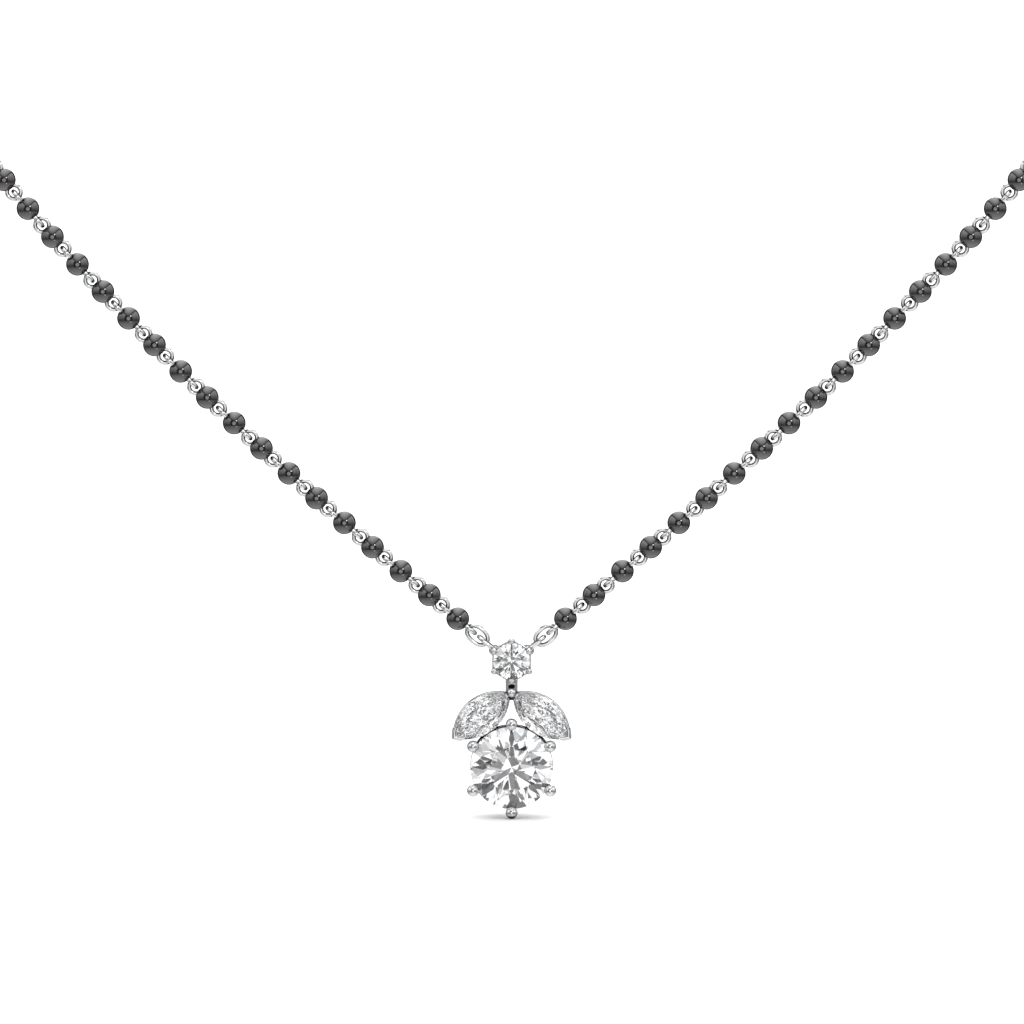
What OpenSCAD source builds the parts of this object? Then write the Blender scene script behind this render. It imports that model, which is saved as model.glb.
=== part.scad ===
// Mangalsutra: two strings of black beads on white metal wire, hanging in a V from a plain
// ring clasp at the nape and joined below by a pendant of four set stones.
// Millimetres, +Z up, the front faces -Y. The origin is the point of the nape that the
// clasp rests on.

/* [Bead strings] */
// Beads on each side
bead_count = 56; // [20:1:56]
// Diameter of a bead
bead_d = 2; // [1.8:0.1:2.3]
// Gap from one bead to the next along the string
bead_gap = 1.235; // [1.2:0.005:1.4]
// Thickness of the wire that the eyes and links are made of
wire_d = 0.38; // [0.3:0.01:0.4]
// Thickness of the straight wire inside a bead
core_d = 0.34; // [0.24:0.01:0.36]
// Outer diameter of the round eye at each end of a bead's wire
eye_d = 1.58; // [1.5:0.01:1.7]
// Free play between two wires that hook into each other
wire_play = 0.15; // [0.12:0.01:0.2]

/* [Oval links] */
// Length of the oval link that faces the front
oval_l = 2.4; // [2.2:0.05:3]
// Width of the oval links
oval_w = 1.7; // [1.5:0.05:2]
// Width of the edge-on link that holds the pendant
hook_w = 1.5; // [1.4:0.05:1.6]
// Free way between the oval link and the eyelet, inside the edge-on link
hook_play = 0.18; // [0.1:0.01:0.4]

/* [Back chain and clasp] */
// Outer width of the fine chain
chain_w = 1.1; // [0.8:0.1:1.6]
// Outer diameter of the ring clasp
clasp_d = 5.6; // [5:0.1:8]
// Thickness of the clasp's ring
clasp_wire_d = 1; // [0.8:0.1:1.2]
// Outer diameter of the small eye on the clasp
clasp_eye_d = 1.6; // [1.5:0.1:2]
// Outer diameter of the ring that the clasp closes on
closing_ring_d = 3.8; // [3.4:0.1:5]
// Thickness of that ring's wire
closing_wire_d = 0.6; // [0.5:0.05:0.8]

/* [Main stone] */
// Diameter of the round main stone
main_d = 7.2; // [6.8:0.1:7.6]
// Corner-to-corner width of its table
main_table_d = 4.1; // [3.6:0.1:4.4]
// Height from girdle to table
main_crown_h = 1.1; // [0.9:0.05:1.3]
// Height of the girdle
main_girdle_h = 0.22; // [0.2:0.01:0.3]
// Depth from girdle to culet
main_pavilion_h = 3.1; // [2.8:0.05:3.2]

/* [Top stone] */
// Diameter of the small round stone
top_d = 3.2; // [3:0.1:3.5]
// Corner-to-corner width of its table
top_table_d = 1.8; // [1.6:0.1:2]
// Height from girdle to table
top_crown_h = 0.5; // [0.4:0.05:0.6]
// Height of the girdle
top_girdle_h = 0.1; // [0.1:0.01:0.14]
// Depth from girdle to culet
top_pavilion_h = 1.38; // [1.2:0.02:1.4]

/* [Marquise stones] */
// Length of a marquise stone, tip to tip
marquise_l = 6.2; // [5.8:0.1:6.6]
// Width of a marquise stone
marquise_w = 3.12; // [2.9:0.02:3.3]
// How far its table lies in from its outline
marquise_table_in = 0.62; // [0.55:0.01:0.75]
// Height from girdle to table
marquise_crown_h = 0.5; // [0.4:0.05:0.6]
// Height of the girdle
marquise_girdle_h = 0.1; // [0.08:0.01:0.14]
// Depth from girdle to culet
marquise_pavilion_h = 1.35; // [1.2:0.05:1.4]
// Angle of its long axis above the horizontal, in degrees
marquise_angle = 37.9; // [34:0.1:42]
// Gap from its edge to the edge of the main stone
marquise_gap = 0.085; // [0.08:0.005:0.3]
// How far its inner tip lies from the middle of the pendant
marquise_tip_x = 0.18; // [0.15:0.01:0.25]

/* [Main basket] */
// Diameter of the rounded prong ends on the main stone
main_ball_d = 1; // [0.9:0.05:1.1]
// Thickness of the main prongs
main_prong_d = 0.8; // [0.7:0.05:0.85]
// How far a prong's middle lies outside the main stone's edge
main_prong_out = 0.27; // [0.24:0.01:0.32]
// Diameter of the circle of prongs at the back
main_back_d = 4.4; // [4:0.1:4.8]
// Depth of the main basket behind the stone's girdle
main_basket_h = 4; // [3.7:0.05:4.2]
// Width of the gallery ring behind the main stone
main_rail_w = 0.43; // [0.35:0.01:0.5]
// Height of the gallery ring
main_rail_h = 0.9; // [0.7:0.05:1.1]
// Width and height of the ring at the back of the basket
main_back_rail = 0.9; // [0.6:0.05:0.95]

/* [Small basket] */
// Diameter of the rounded prong ends on the top stone
top_ball_d = 0.56; // [0.5:0.02:0.6]
// Thickness of the small prongs
top_prong_d = 0.36; // [0.32:0.02:0.4]
// How far a prong's middle lies outside the top stone's edge
top_prong_out = 0.16; // [0.14:0.01:0.2]
// Diameter of the circle of prongs at the back
top_back_d = 1.3; // [1.1:0.1:1.5]
// Depth of the small basket behind the stone's girdle
top_basket_h = 1.9; // [1.8:0.05:2.2]
// Distance from corner to corner of the six-sided rail
top_rail_d = 3.9; // [3.8:0.02:3.94]
// Width of the six-sided rail
top_rail_w = 0.3; // [0.26:0.01:0.34]
// Height of the six-sided rail
top_rail_h = 0.24; // [0.2:0.01:0.26]

/* [Marquise baskets] */
// Thickness of the shared prong's post
shared_prong_d = 0.6; // [0.5:0.05:0.7]
// Diameter of the rounded end of the shared prong
shared_ball_d = 0.76; // [0.7:0.02:0.8]
// Thickness of the cap round an outer tip
tip_wall = 0.24; // [0.18:0.01:0.3]
// Length of the cap, along the stone
tip_cap_l = 0.6; // [0.45:0.05:0.8]
// Height of the cap above the stone's girdle
tip_cap_h = 0.28; // [0.2:0.01:0.34]
// Width of the rim behind a marquise stone
marquise_rim_w = 0.4; // [0.35:0.01:0.45]
// Height of that rim
marquise_rim_h = 0.65; // [0.5:0.05:0.75]
// How far the back rim lies in from the stone's outline
marquise_back_in = 0.7; // [0.6:0.05:0.8]
// Depth of a marquise basket behind the stone's girdle
marquise_basket_h = 2; // [1.8:0.05:2.4]

/* [Bar and eyelets] */
// Gap from the shared prong to the edge of the top stone
bar_l = 1.15; // [1.1:0.05:1.5]
// Width of the bar that carries the small basket
bar_w = 1; // [0.9:0.05:1.1]
// Depth of the bar from front to back
bar_h = 1.5; // [1.2:0.05:1.6]
// Thickness of the bar's two side plates
bar_cheek = 0.26; // [0.2:0.01:0.3]
// Radius of an eyelet, to the middle of its wire
eyelet_r = 0.49; // [0.47:0.01:0.52]
// Thickness of an eyelet's wire
eyelet_wire_d = 0.28; // [0.24:0.01:0.3]
// How far an eyelet's middle lies outside the top stone's edge
eyelet_out = 0.06; // [0.04:0.01:0.12]
// Distance of the eyelets behind the plane of the girdles
eyelet_depth = 1.2; // [1.15:0.05:1.3]

/* [Clearances] */
// Gap between links that hang in each other
link_gap = 0.1; // [0.1:0.01:0.12]
// Gap between a bead and its wire, all round
bead_clearance = 0.1; // [0.1:0.01:0.12]
// Gap between a stone and its seat
seat_gap = 0.05; // [0.03:0.01:0.08]
// Gap from the fine chain to what it hooks into
chain_gap = 0.15; // [0.1:0.05:0.3]

/* [Hidden] */
$fn = 48;

metal = "gainsboro";
onyx = [0.09, 0.09, 0.1];
crystal = [0.9, 0.95, 1];

// The string's route on the right side: the pendant's hinge line, then points on the way
// up the front, round the neck and to the middle of the clasp
hang_y = -110;
hang_z = -104.04;
route_points = [
    [16, hang_y, -91.6], [30, hang_y, -78.4], [44, hang_y, -63], [54.5, -105.5, -48],
    [60.5, -92, -36], [62, -74, -27], [60, -55.5, -19.5], [54, -38, -13],
    [44, -23, -7.5], [31, -11, -3.5], [16, -3, -1], [0, clasp_wire_d / 2, 0]
];
// Depth over which the eyes turn from facing the front to facing away from the neck
turn_depth = 30;
neck_y = -55;
span_steps = 12;

// Brilliant cut: eight main facets, and points along the girdle for each of its sixteen facets
mains = 8;
girdle_steps = 4;
star_share = 0.55;
lower_half_share = 0.77;
// Marquise cut: points along each side of its outline
marquise_steps = 10;
// Rings of facet corners of the marquise, each as a share of the way in and of the height
marquise_crown_rings = [[0.5, 0.6]];
marquise_pavilion_rings = [[0.28, 0.34], [0.55, 0.62], [0.8, 0.86]];

// Both round stones sit in six prongs, the first one at the upper right
prongs = 6;
side_prong_angle = 30;
// Heights above the plane of the girdles: the middles of the rounded prong ends, the front
// edges of both rails, and the marquise stones
main_prong_z = 0.35;
top_prong_z = 0.15;
main_rail_z = -0.7;
top_rail_z = -0.12;
marquise_z = 0.2;
// The gallery ring's edge behind the main stone's edge
main_rail_in = 0.02;
// The rim behind a marquise stone: distance behind its girdle, and how far it stands out
rim_drop = 0.45;
rim_out = 0.05;
// The thin struts between the two rims of a marquise basket
strut_d = 0.34;
// The shared prong: rounded end above the marquise stones, its tail, and the post's depth
// below their rims
shared_end_z = 0.22;
shared_tail_w = 0.7;
shared_tail_d = 0.16;
shared_tail_l = 0.6;
shared_post_drop = 0.15;
// The shared prong's middle above the inner tips of the marquise stones
shared_rise = 0.14;
// The bar: overlap with the shared prong, distance of its front behind the small rail, and
// thickness of its back plate
bar_overlap = 0.05;
bar_inset = 0.2;
bar_back_h = 0.6;
bar_foot = 0.1;
// The solder joint between a marquise basket and the gallery ring
bridge_angle = 54;
bridge_d = 0.6;
bridge_slant = 0.15;
// The small basket's back ring, as thick as its prongs or a little less
top_back_rail = 0.9 * top_prong_d;
// How far a cut or an overlap runs past the surface that it goes through
past = 1;

// Places along a bead's own axis
bead_pitch = bead_d + bead_gap;
eye_r = (eye_d - wire_d) / 2;
eye_off = (bead_pitch - wire_d - wire_play) / 2;

// Places along the line from the first bead's centre to the pendant's eyelet
oval_near = eye_off - eye_r + wire_d + link_gap;
oval_far = oval_near + oval_l - wire_d;
hook_near = eye_off + eye_r + wire_d + link_gap;
eyelet_s = oval_far + (wire_d + eyelet_wire_d) / 2 + hook_play + eyelet_r;

// Marquise outline: two equal arcs
arc_r = (pow(marquise_l / 2, 2) + pow(marquise_w / 2, 2)) / marquise_w;
arc_off = arc_r - marquise_w / 2;
marquise_x = marquise_tip_x + marquise_l / 2 * cos(marquise_angle);
arc_centre_x = marquise_x + arc_off * sin(marquise_angle);
arc_reach = arc_r + main_d / 2 + marquise_gap;
marquise_y = sqrt(pow(arc_reach, 2) - pow(arc_centre_x, 2)) - arc_off * cos(marquise_angle);

// Heights in the pendant, up from the main stone's centre
shared_y = marquise_y + marquise_l / 2 * sin(marquise_angle) + shared_rise;
top_y = shared_y + bar_l + top_d / 2;
eyelet_reach = top_d / 2 + eyelet_out;
eyelet_x = eyelet_reach * cos(side_prong_angle);
eyelet_y = top_y + eyelet_reach * sin(side_prong_angle);

// The route, resampled along its own length
route = concat([[eyelet_x, hang_y, hang_z]], route_points);
last_span = len(route) - 1;
before_first = 2 * route[0] - route[1];
after_last = [-route[last_span - 1].x, route[last_span - 1].y, route[last_span - 1].z];
route_ends = concat([before_first], route, [after_last]);

function spline(a, b, c, d, t) =
    0.5 * (2 * b + (c - a) * t + (2 * a - 5 * b + 4 * c - d) * t * t
    + (3 * b - a - 3 * c + d) * t * t * t);

path = concat(
    [for (i = [0:last_span - 1], k = [0:span_steps - 1])
        spline(route_ends[i], route_ends[i + 1], route_ends[i + 2], route_ends[i + 3],
            k / span_steps)],
    [route[last_span]]
);
path_s = [
    for (i = 0, s = 0; i < len(path);
        s = s + (i + 1 < len(path) ? norm(path[i + 1] - path[i]) : 0), i = i + 1) s
];
route_length = path_s[len(path) - 1];
route_x = [for (i = [0:len(path) - 1]) [path_s[i], path[i].x]];
route_y = [for (i = [0:len(path) - 1]) [path_s[i], path[i].y]];
route_z = [for (i = [0:len(path) - 1]) [path_s[i], path[i].z]];

function unit(v) = v / norm(v);
function at(s) = [lookup(s, route_x), lookup(s, route_y), lookup(s, route_z)];
function along(s) = unit(at(s + bead_pitch / 2) - at(s - bead_pitch / 2));

// Outward direction: to the front in the open V, away from the neck round its sides
function turned(p) = min(1, max(0, (p.y - hang_y) / turn_depth));
function outward(p) =
    unit((1 - turned(p)) * [0, -1, 0] + turned(p) * unit([p.x, p.y - neck_y, 0]));
function square_to(v, axis) = unit(v - (v * axis) * axis);

// Placement with local Z along the string and local X facing outward
function placement(p, z_axis) =
    let (x_axis = square_to(outward(p), z_axis), y_axis = cross(z_axis, x_axis))
    [[x_axis.x, y_axis.x, z_axis.x, p.x],
     [x_axis.y, y_axis.y, z_axis.y, p.y],
     [x_axis.z, y_axis.z, z_axis.z, p.z],
     [0, 0, 0, 1]];

string_start = eyelet_s;
string_end = string_start + (bead_count - 1) * bead_pitch + eye_off + eye_d / 2;
first_bead = at(string_start);
hinge_point = route[0];
link_axis = unit(hinge_point - first_bead);

// Clasp: a ring facing the nape, its eye on the left, the closing ring through its right side
clasp_r = (clasp_d - clasp_wire_d) / 2;
clasp_eye_r = (clasp_eye_d - wire_d) / 2;
clasp_eye_x = clasp_d / 2 + clasp_eye_r;
closing_r = (closing_ring_d - closing_wire_d) / 2;
closing_x = clasp_d / 2 - clasp_wire_d - link_gap - closing_wire_d / 2 + closing_r;
trigger_d = 0.7;
trigger_l = 0.8;

// Round wire bent to a circle about local Z
module ring(radius, wire) {
    rotate_extrude()
        translate([radius, 0])
            circle(d = wire, $fn = 24);
}

// Straight round rod from one point to another
module rod(from, to, d) {
    v = to - from;
    translate(from)
        rotate([0, acos(v.z / norm(v)), atan2(v.y, v.x)])
            cylinder(d = d, h = norm(v), $fn = 32);
}

module on_route(s) {
    multmatrix(placement(at(s), along(s))) children();
}

// Each bead of one string, its eyes edge on at the first bead and at every second one after
module along_string() {
    for (i = [0:bead_count - 1])
        on_route(string_start + i * bead_pitch)
            rotate([0, 0, i % 2 == 0 ? 90 : 0])
                children();
}

// Bead drilled for its wire and slotted at both ends for the eyes
module drilled_bead() {
    difference() {
        sphere(d = bead_d);
        cylinder(d = core_d + 2 * bead_clearance, h = 2 * bead_d, center = true, $fn = 24);
        for (end = [-1, 1])
            translate([0, 0, end * eye_off])
                rotate([0, 90, 0])
                    cylinder(d = eye_d + 2 * bead_clearance, h = wire_d + 2 * bead_clearance,
                        center = true);
    }
}

// Straight wire with a round eye at each end
module bead_wire() {
    cylinder(d = core_d, h = 2 * (eye_off - eye_r), center = true, $fn = 24);
    for (end = [-1, 1])
        translate([0, 0, end * eye_off])
            rotate([0, 90, 0])
                ring(eye_r, wire_d);
}

module black_beads_right() {
    color(onyx) along_string() drilled_bead();
}

module black_beads_left() {
    mirror([1, 0, 0]) black_beads_right();
}

module bead_wires_right() {
    color(metal) along_string() bead_wire();
}

module bead_wires_left() {
    mirror([1, 0, 0]) bead_wires_right();
}

// Oval link in the local YZ plane, from one distance along local Z to another
module link(near, far, width) {
    bend_r = (width - wire_d) / 2;
    straight = far - near - 2 * bend_r;
    translate([0, 0, (near + far) / 2])
        rotate([0, 90, 0]) {
            for (side = [-1, 1]) {
                translate([side * straight / 2, 0, 0])
                    rotate([0, 0, -90 * side])
                        rotate_extrude(angle = 180)
                            translate([bend_r, 0])
                                circle(d = wire_d, $fn = 24);
                translate([-straight / 2, side * bend_r, 0])
                    rotate([0, 90, 0])
                        cylinder(d = wire_d, h = straight, $fn = 24);
            }
        }
}

module oval_link_right() {
    color(metal)
        multmatrix(placement(first_bead, link_axis))
            link(oval_near, oval_far, oval_w);
}

module oval_link_left() {
    mirror([1, 0, 0]) oval_link_right();
}

module hook_link_right() {
    color(metal)
        multmatrix(placement(first_bead, link_axis))
            rotate([0, 0, 90])
                link(hook_near, eyelet_s, hook_w);
}

module hook_link_left() {
    mirror([1, 0, 0]) hook_link_right();
}

// Closed eight-sided tube along the route, which holds the space of a fine chain
module route_tube(from_s, to_s) {
    sides = 8;
    rings = ceil((to_s - from_s) / (2.5 * chain_w));
    frames = [for (k = [0:rings]) let (s = from_s + (to_s - from_s) * k / rings)
        placement(at(s), along(s))];
    points = [for (f = frames, j = [0:sides - 1])
        let (q = f * [chain_w / 2 * cos(360 * j / sides), chain_w / 2 * sin(360 * j / sides), 0, 1])
        [q.x, q.y, q.z]];
    walls = [for (k = [0:rings - 1], j = [0:sides - 1])
        let (a = k * sides + j, b = k * sides + (j + 1) % sides) [a, a + sides, b + sides, b]];
    polyhedron(points, concat([[for (j = [0:sides - 1]) j]], walls,
        [[for (j = [sides - 1:-1:0]) rings * sides + j]]));
}

module back_chain_right() {
    color(metal)
        route_tube(string_end + chain_gap,
            route_length - closing_x - closing_ring_d / 2 - chain_gap);
}

module back_chain_left() {
    color(metal)
        mirror([1, 0, 0])
            route_tube(string_end + chain_gap,
                route_length - clasp_eye_x - clasp_eye_d / 2 - chain_gap);
}

// One-piece ring clasp, standing in the plane that faces the nape
module clasp() {
    color(metal)
        translate(route[last_span]) {
            rotate([90, 0, 0]) ring(clasp_r, clasp_wire_d);
            translate([-clasp_eye_x, 0, 0]) rotate([90, 0, 0]) ring(clasp_eye_r, wire_d);
            rotate([0, -45, 0])
                translate([0, 0, clasp_r])
                    cylinder(d = trigger_d, h = clasp_wire_d / 2 + trigger_l, $fn = 24);
        }
}

// The ring that the clasp closes on lies flat, through the clasp's right side
module clasp_ring() {
    color(metal)
        translate(route[last_span] + [closing_x, 0, 0])
            ring(closing_r, closing_wire_d);
}

// The pendant is drawn lying down, with its face to +Z and its top to +Y, and then hung up
module hung() {
    translate([0, hang_y - eyelet_depth, hang_z - eyelet_y])
        rotate([90, 0, 0])
            children();
}

module at_marquise() {
    translate([marquise_x, marquise_y, marquise_z])
        rotate([0, 0, -marquise_angle])
            children();
}

// Round brilliant with its table up and its girdle about Z = 0
function height_on(p, a, b, c) =
    let (n = cross(b - a, c - a)) a.z - (n.x * (p.x - a.x) + n.y * (p.y - a.y)) / n.z;
function polar(radius, angle, z) = [radius * cos(angle), radius * sin(angle), z];

// Radius and height of the star tips and of the lower half tips
function star_r(d, table_d) =
    let (table_flat = table_d / 2 * cos(180 / mains))
    table_flat + star_share * (d / 2 - table_flat);
function star_z(d, table_d, crown_h, girdle_h) =
    girdle_h / 2 + (d - 2 * star_r(d, table_d) * cos(180 / mains)) / (d - table_d) * crown_h;
function lower_r(d) = (1 - lower_half_share) * d / 2;
function lower_z(d, girdle_h, pavilion_h) =
    -girdle_h / 2 - (1 - (1 - lower_half_share) * cos(180 / mains)) * pavilion_h;

// Point of the girdle's edge on the facet between a main point and a half point of it
function edge_point(d, z, tip, k) =
    let (angle = 360 * k / (2 * mains * girdle_steps),
        first = floor(k / girdle_steps) * 180 / mains,
        p = polar(d / 2, angle, 0))
    polar(d / 2, angle, height_on(p, tip, polar(d / 2, first, z),
        polar(d / 2, first + 180 / mains, z)));

module brilliant(d, table_d, crown_h, girdle_h, pavilion_h) {
    rim = 2 * mains * girdle_steps;
    step = 360 / mains;
    table = [for (j = [0:mains - 1]) polar(table_d / 2, step * j, girdle_h / 2 + crown_h)];
    stars = [for (j = [0:mains - 1])
        polar(star_r(d, table_d), step * (j + 0.5), star_z(d, table_d, crown_h, girdle_h))];
    lowers = [for (j = [0:mains - 1])
        polar(lower_r(d), step * (j + 0.5), lower_z(d, girdle_h, pavilion_h))];
    upper_edge = [for (k = [0:rim - 1])
        edge_point(d, girdle_h / 2, stars[floor(k / (2 * girdle_steps))], k)];
    lower_edge = [for (k = [0:rim - 1])
        edge_point(d, -girdle_h / 2, lowers[floor(k / (2 * girdle_steps))], k)];
    culet = [[0, 0, -girdle_h / 2 - pavilion_h]];
    star0 = mains;
    upper0 = 2 * mains;
    below0 = upper0 + rim;
    lower0 = below0 + rim;
    culet0 = lower0 + mains;
    facets = concat(
        [[for (j = [mains - 1:-1:0]) j]],
        [for (j = [0:mains - 1]) [j, (j + 1) % mains, star0 + j]],
        [for (j = [0:mains - 1])
            [j, star0 + j, upper0 + 2 * girdle_steps * j, star0 + (j + mains - 1) % mains]],
        [for (j = [0:mains - 1], half = [0, 1])
            concat([star0 + j], [for (k = [girdle_steps:-1:0])
                upper0 + (girdle_steps * (2 * j + half) + k) % rim])],
        [for (k = [0:rim - 1])
            [upper0 + k, upper0 + (k + 1) % rim, below0 + (k + 1) % rim, below0 + k]],
        [for (j = [0:mains - 1], half = [0, 1])
            concat([lower0 + j], [for (k = [0:girdle_steps])
                below0 + (girdle_steps * (2 * j + half) + k) % rim])],
        [for (j = [0:mains - 1])
            [culet0, lower0 + (j + mains - 1) % mains, below0 + 2 * girdle_steps * j, lower0 + j]]
    );
    polyhedron(concat(table, stars, upper_edge, lower_edge, lowers, culet), facets);
}

// Solid round shape that the brilliant fits in with the seat's gap all round
module brilliant_seat(d, table_d, crown_h, girdle_h, pavilion_h) {
    rotate_extrude()
        polygon([
            [0, girdle_h / 2 + crown_h + seat_gap],
            [table_d / 2 + seat_gap, girdle_h / 2 + crown_h + seat_gap],
            [star_r(d, table_d) + seat_gap, star_z(d, table_d, crown_h, girdle_h) + seat_gap],
            [d / 2 + seat_gap, girdle_h / 2 + seat_gap],
            [d / 2 + seat_gap, -girdle_h / 2 - seat_gap],
            [lower_r(d) + seat_gap, lower_z(d, girdle_h, pavilion_h) - seat_gap],
            [0, -girdle_h / 2 - pavilion_h - seat_gap]
        ]);
}

// Facet levels of the marquise from table to last pavilion ring: distance in, and height
marquise_top = marquise_girdle_h / 2 + marquise_crown_h;
marquise_levels = concat(
    [[marquise_table_in, marquise_top]],
    [for (r = marquise_crown_rings)
        [r[0] * marquise_table_in, marquise_girdle_h / 2 + r[1] * marquise_crown_h]],
    [[0, marquise_girdle_h / 2], [0, -marquise_girdle_h / 2]],
    [for (r = marquise_pavilion_rings)
        [r[0] * marquise_w / 2, -marquise_girdle_h / 2 - r[1] * marquise_pavilion_h]]
);
marquise_bottom = -marquise_girdle_h / 2 - marquise_pavilion_h;
// Levels with their corners moved by half a facet lie between levels with a corner at the tips
level_shifts = [0, 0.5, 0, 0, 0.5, 0, 0.5];

// Corners of one level, on both arcs, from tip to tip and back
function marquise_ring(inset, z, shift) =
    let (r = arc_r - inset, half = acos(arc_off / r))
    [for (k = [0:2 * marquise_steps - 1])
        let (upper = k < marquise_steps,
            share = (k % marquise_steps + shift) / marquise_steps,
            angle = half * (1 - 2 * share))
        upper ? [r * sin(angle), r * cos(angle) - arc_off, z]
            : [-r * sin(angle), arc_off - r * cos(angle), z]];

module marquise() {
    around = 2 * marquise_steps;
    last = len(marquise_levels) - 1;
    points = [for (i = [0:last])
        each marquise_ring(marquise_levels[i][0], marquise_levels[i][1], level_shifts[i])];
    sides = [for (i = [0:last - 1], k = [0:around - 1])
        let (a = i * around + k, b = i * around + (k + 1) % around,
            c = a + around, d = b + around)
        each level_shifts[i] < level_shifts[i + 1] ? [[a, b, c], [b, d, c]]
            : level_shifts[i] > level_shifts[i + 1] ? [[a, b, d], [a, d, c]]
            : [[a, b, d, c]]];
    bottom = [for (k = [0:around - 1])
        [last * around + k, last * around + (k + 1) % around, (last + 1) * around]];
    polyhedron(concat(points, [[0, 0, marquise_bottom]]),
        concat([[for (k = [around - 1:-1:0]) k]], sides, bottom));
}

// Part of space between the two arcs of the marquise outline; the profile gives the arcs'
// radius at each height
module lens(profile) {
    intersection_for (side = [-1, 1])
        translate([0, side * arc_off, 0])
            rotate_extrude($fn = 120)
                polygon(profile);
}

module lens_plate(inset, z, height) {
    lens([[0, z], [arc_r - inset, z], [arc_r - inset, z + height], [0, z + height]]);
}

// Wall that follows the marquise outline
module lens_rim(inset, width, z, height) {
    difference() {
        lens_plate(inset, z, height);
        lens_plate(inset + width, z - past, height + 2 * past);
    }
}

// Solid shape that the marquise fits in with the seat's gap all round
module marquise_seat() {
    crown = [for (l = marquise_levels) if (l[1] > 0) [arc_r - l[0] + seat_gap, l[1] + seat_gap]];
    pavilion = [for (l = marquise_levels) if (l[1] < 0)
        [arc_r - l[0] + seat_gap, l[1] - seat_gap]];
    lens(concat([[0, marquise_top + seat_gap]], crown, pavilion,
        [[arc_off + seat_gap, marquise_bottom - seat_gap], [0, marquise_bottom - seat_gap]]));
}

// Six prongs that lean in towards the back
module prong_circle(radius, back_radius, front_z, back_z, prong_d, ball_d) {
    for (k = [0:prongs - 1]) {
        angle = side_prong_angle + 360 / prongs * k;
        rod(polar(radius, angle, front_z), polar(back_radius, angle, back_z), prong_d);
        translate(polar(radius, angle, front_z)) sphere(d = ball_d, $fn = 40);
    }
}

module round_rail(outer_r, width, z, height) {
    rotate_extrude($fn = 96)
        translate([outer_r - width, z])
            square([width, height]);
}

module main_basket() {
    prong_circle(main_d / 2 + main_prong_out, main_back_d / 2, main_prong_z,
        main_back_rail / 2 - main_basket_h, main_prong_d, main_ball_d);
    round_rail(main_d / 2 - main_rail_in, main_rail_w, main_rail_z - main_rail_h, main_rail_h);
    round_rail((main_back_d + main_back_rail) / 2, main_back_rail, -main_basket_h,
        main_back_rail);
}

module small_basket() {
    translate([0, top_y, 0]) {
        prong_circle(top_d / 2 + top_prong_out, top_back_d / 2, top_prong_z,
            top_back_rail / 2 - top_basket_h, top_prong_d, top_ball_d);
        round_rail((top_back_d + top_back_rail) / 2, top_back_rail, -top_basket_h,
            top_back_rail);
        translate([0, 0, top_rail_z - top_rail_h])
            rotate([0, 0, side_prong_angle])
                difference() {
                    cylinder(d = top_rail_d, h = top_rail_h, $fn = 6);
                    translate([0, 0, -past])
                        cylinder(d = top_rail_d - 2 * top_rail_w, h = top_rail_h + 2 * past,
                            $fn = 6);
                }
    }
}

// Cap round the outer tip of a marquise: a wall along both edges, rounded at its end
module tip_cap() {
    bottom = -rim_drop - marquise_rim_h / 2;
    height = tip_cap_h - bottom;
    intersection() {
        lens_plate(-tip_wall, bottom, height);
        translate([marquise_l / 2 - tip_cap_l, 0, bottom])
            cylinder(r = tip_cap_l + tip_wall, h = height);
        translate([marquise_l / 2 - tip_cap_l, -marquise_w / 2, bottom])
            cube([2 * tip_cap_l, marquise_w, height]);
    }
}

// Basket of the right marquise, in the stone's own place
module marquise_basket() {
    rim_mid = -rim_drop - marquise_rim_h / 2;
    back_mid = -marquise_basket_h + strut_d / 2;
    side_front = marquise_w / 2 - marquise_rim_w / 2;
    side_back = marquise_w / 2 - marquise_back_in - strut_d / 2;
    back_tip = sqrt(pow(arc_r - marquise_back_in - strut_d / 2, 2) - pow(arc_off, 2));
    front_tip = sqrt(pow(arc_r - marquise_rim_w / 2, 2) - pow(arc_off, 2));
    lens_rim(-rim_out, marquise_rim_w + rim_out, -rim_drop - marquise_rim_h, marquise_rim_h);
    lens_rim(marquise_back_in, strut_d, -marquise_basket_h, strut_d);
    tip_cap();
    for (side = [-1, 1]) {
        rod([0, side * side_front, rim_mid], [0, side * side_back, back_mid], strut_d);
        rod([side * front_tip, 0, rim_mid], [side * back_tip, 0, back_mid], strut_d);
    }
}

// Shared prong: a post with a rounded end, and a tail that narrows downwards
module shared_prong() {
    front = marquise_z + shared_end_z;
    back = marquise_z - rim_drop - marquise_rim_h - shared_post_drop;
    translate([0, shared_y, 0]) {
        rod([0, 0, front], [0, 0, back], shared_prong_d);
        translate([0, 0, front]) {
            sphere(d = shared_ball_d, $fn = 40);
            rotate([90, 0, 0])
                cylinder(d1 = shared_tail_w, d2 = shared_tail_d, h = shared_tail_l, $fn = 32);
        }
    }
}

// Two side plates joined by a back plate, from the shared prong to the small basket
module bar() {
    bottom = shared_y + bar_overlap;
    length = top_y - top_back_d / 2 - bottom;
    front = top_rail_z - bar_inset;
    difference() {
        translate([-bar_w / 2, bottom, front - bar_h]) cube([bar_w, length, bar_h]);
        translate([bar_cheek - bar_w / 2, bottom + bar_foot, front - bar_h + bar_back_h])
            cube([bar_w - 2 * bar_cheek, length, bar_h]);
    }
}

module eyelet() {
    translate([eyelet_x, eyelet_y, -eyelet_depth]) ring(eyelet_r, eyelet_wire_d);
}

// Bridge where a marquise basket is soldered to the main gallery
module solder_bridge() {
    z = marquise_z - rim_drop - marquise_rim_h / 2;
    rod(polar(main_d / 2 - main_rail_w, bridge_angle, z - bridge_slant),
        polar(main_d / 2 + marquise_gap + marquise_rim_w, bridge_angle, z), bridge_d);
}

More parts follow.
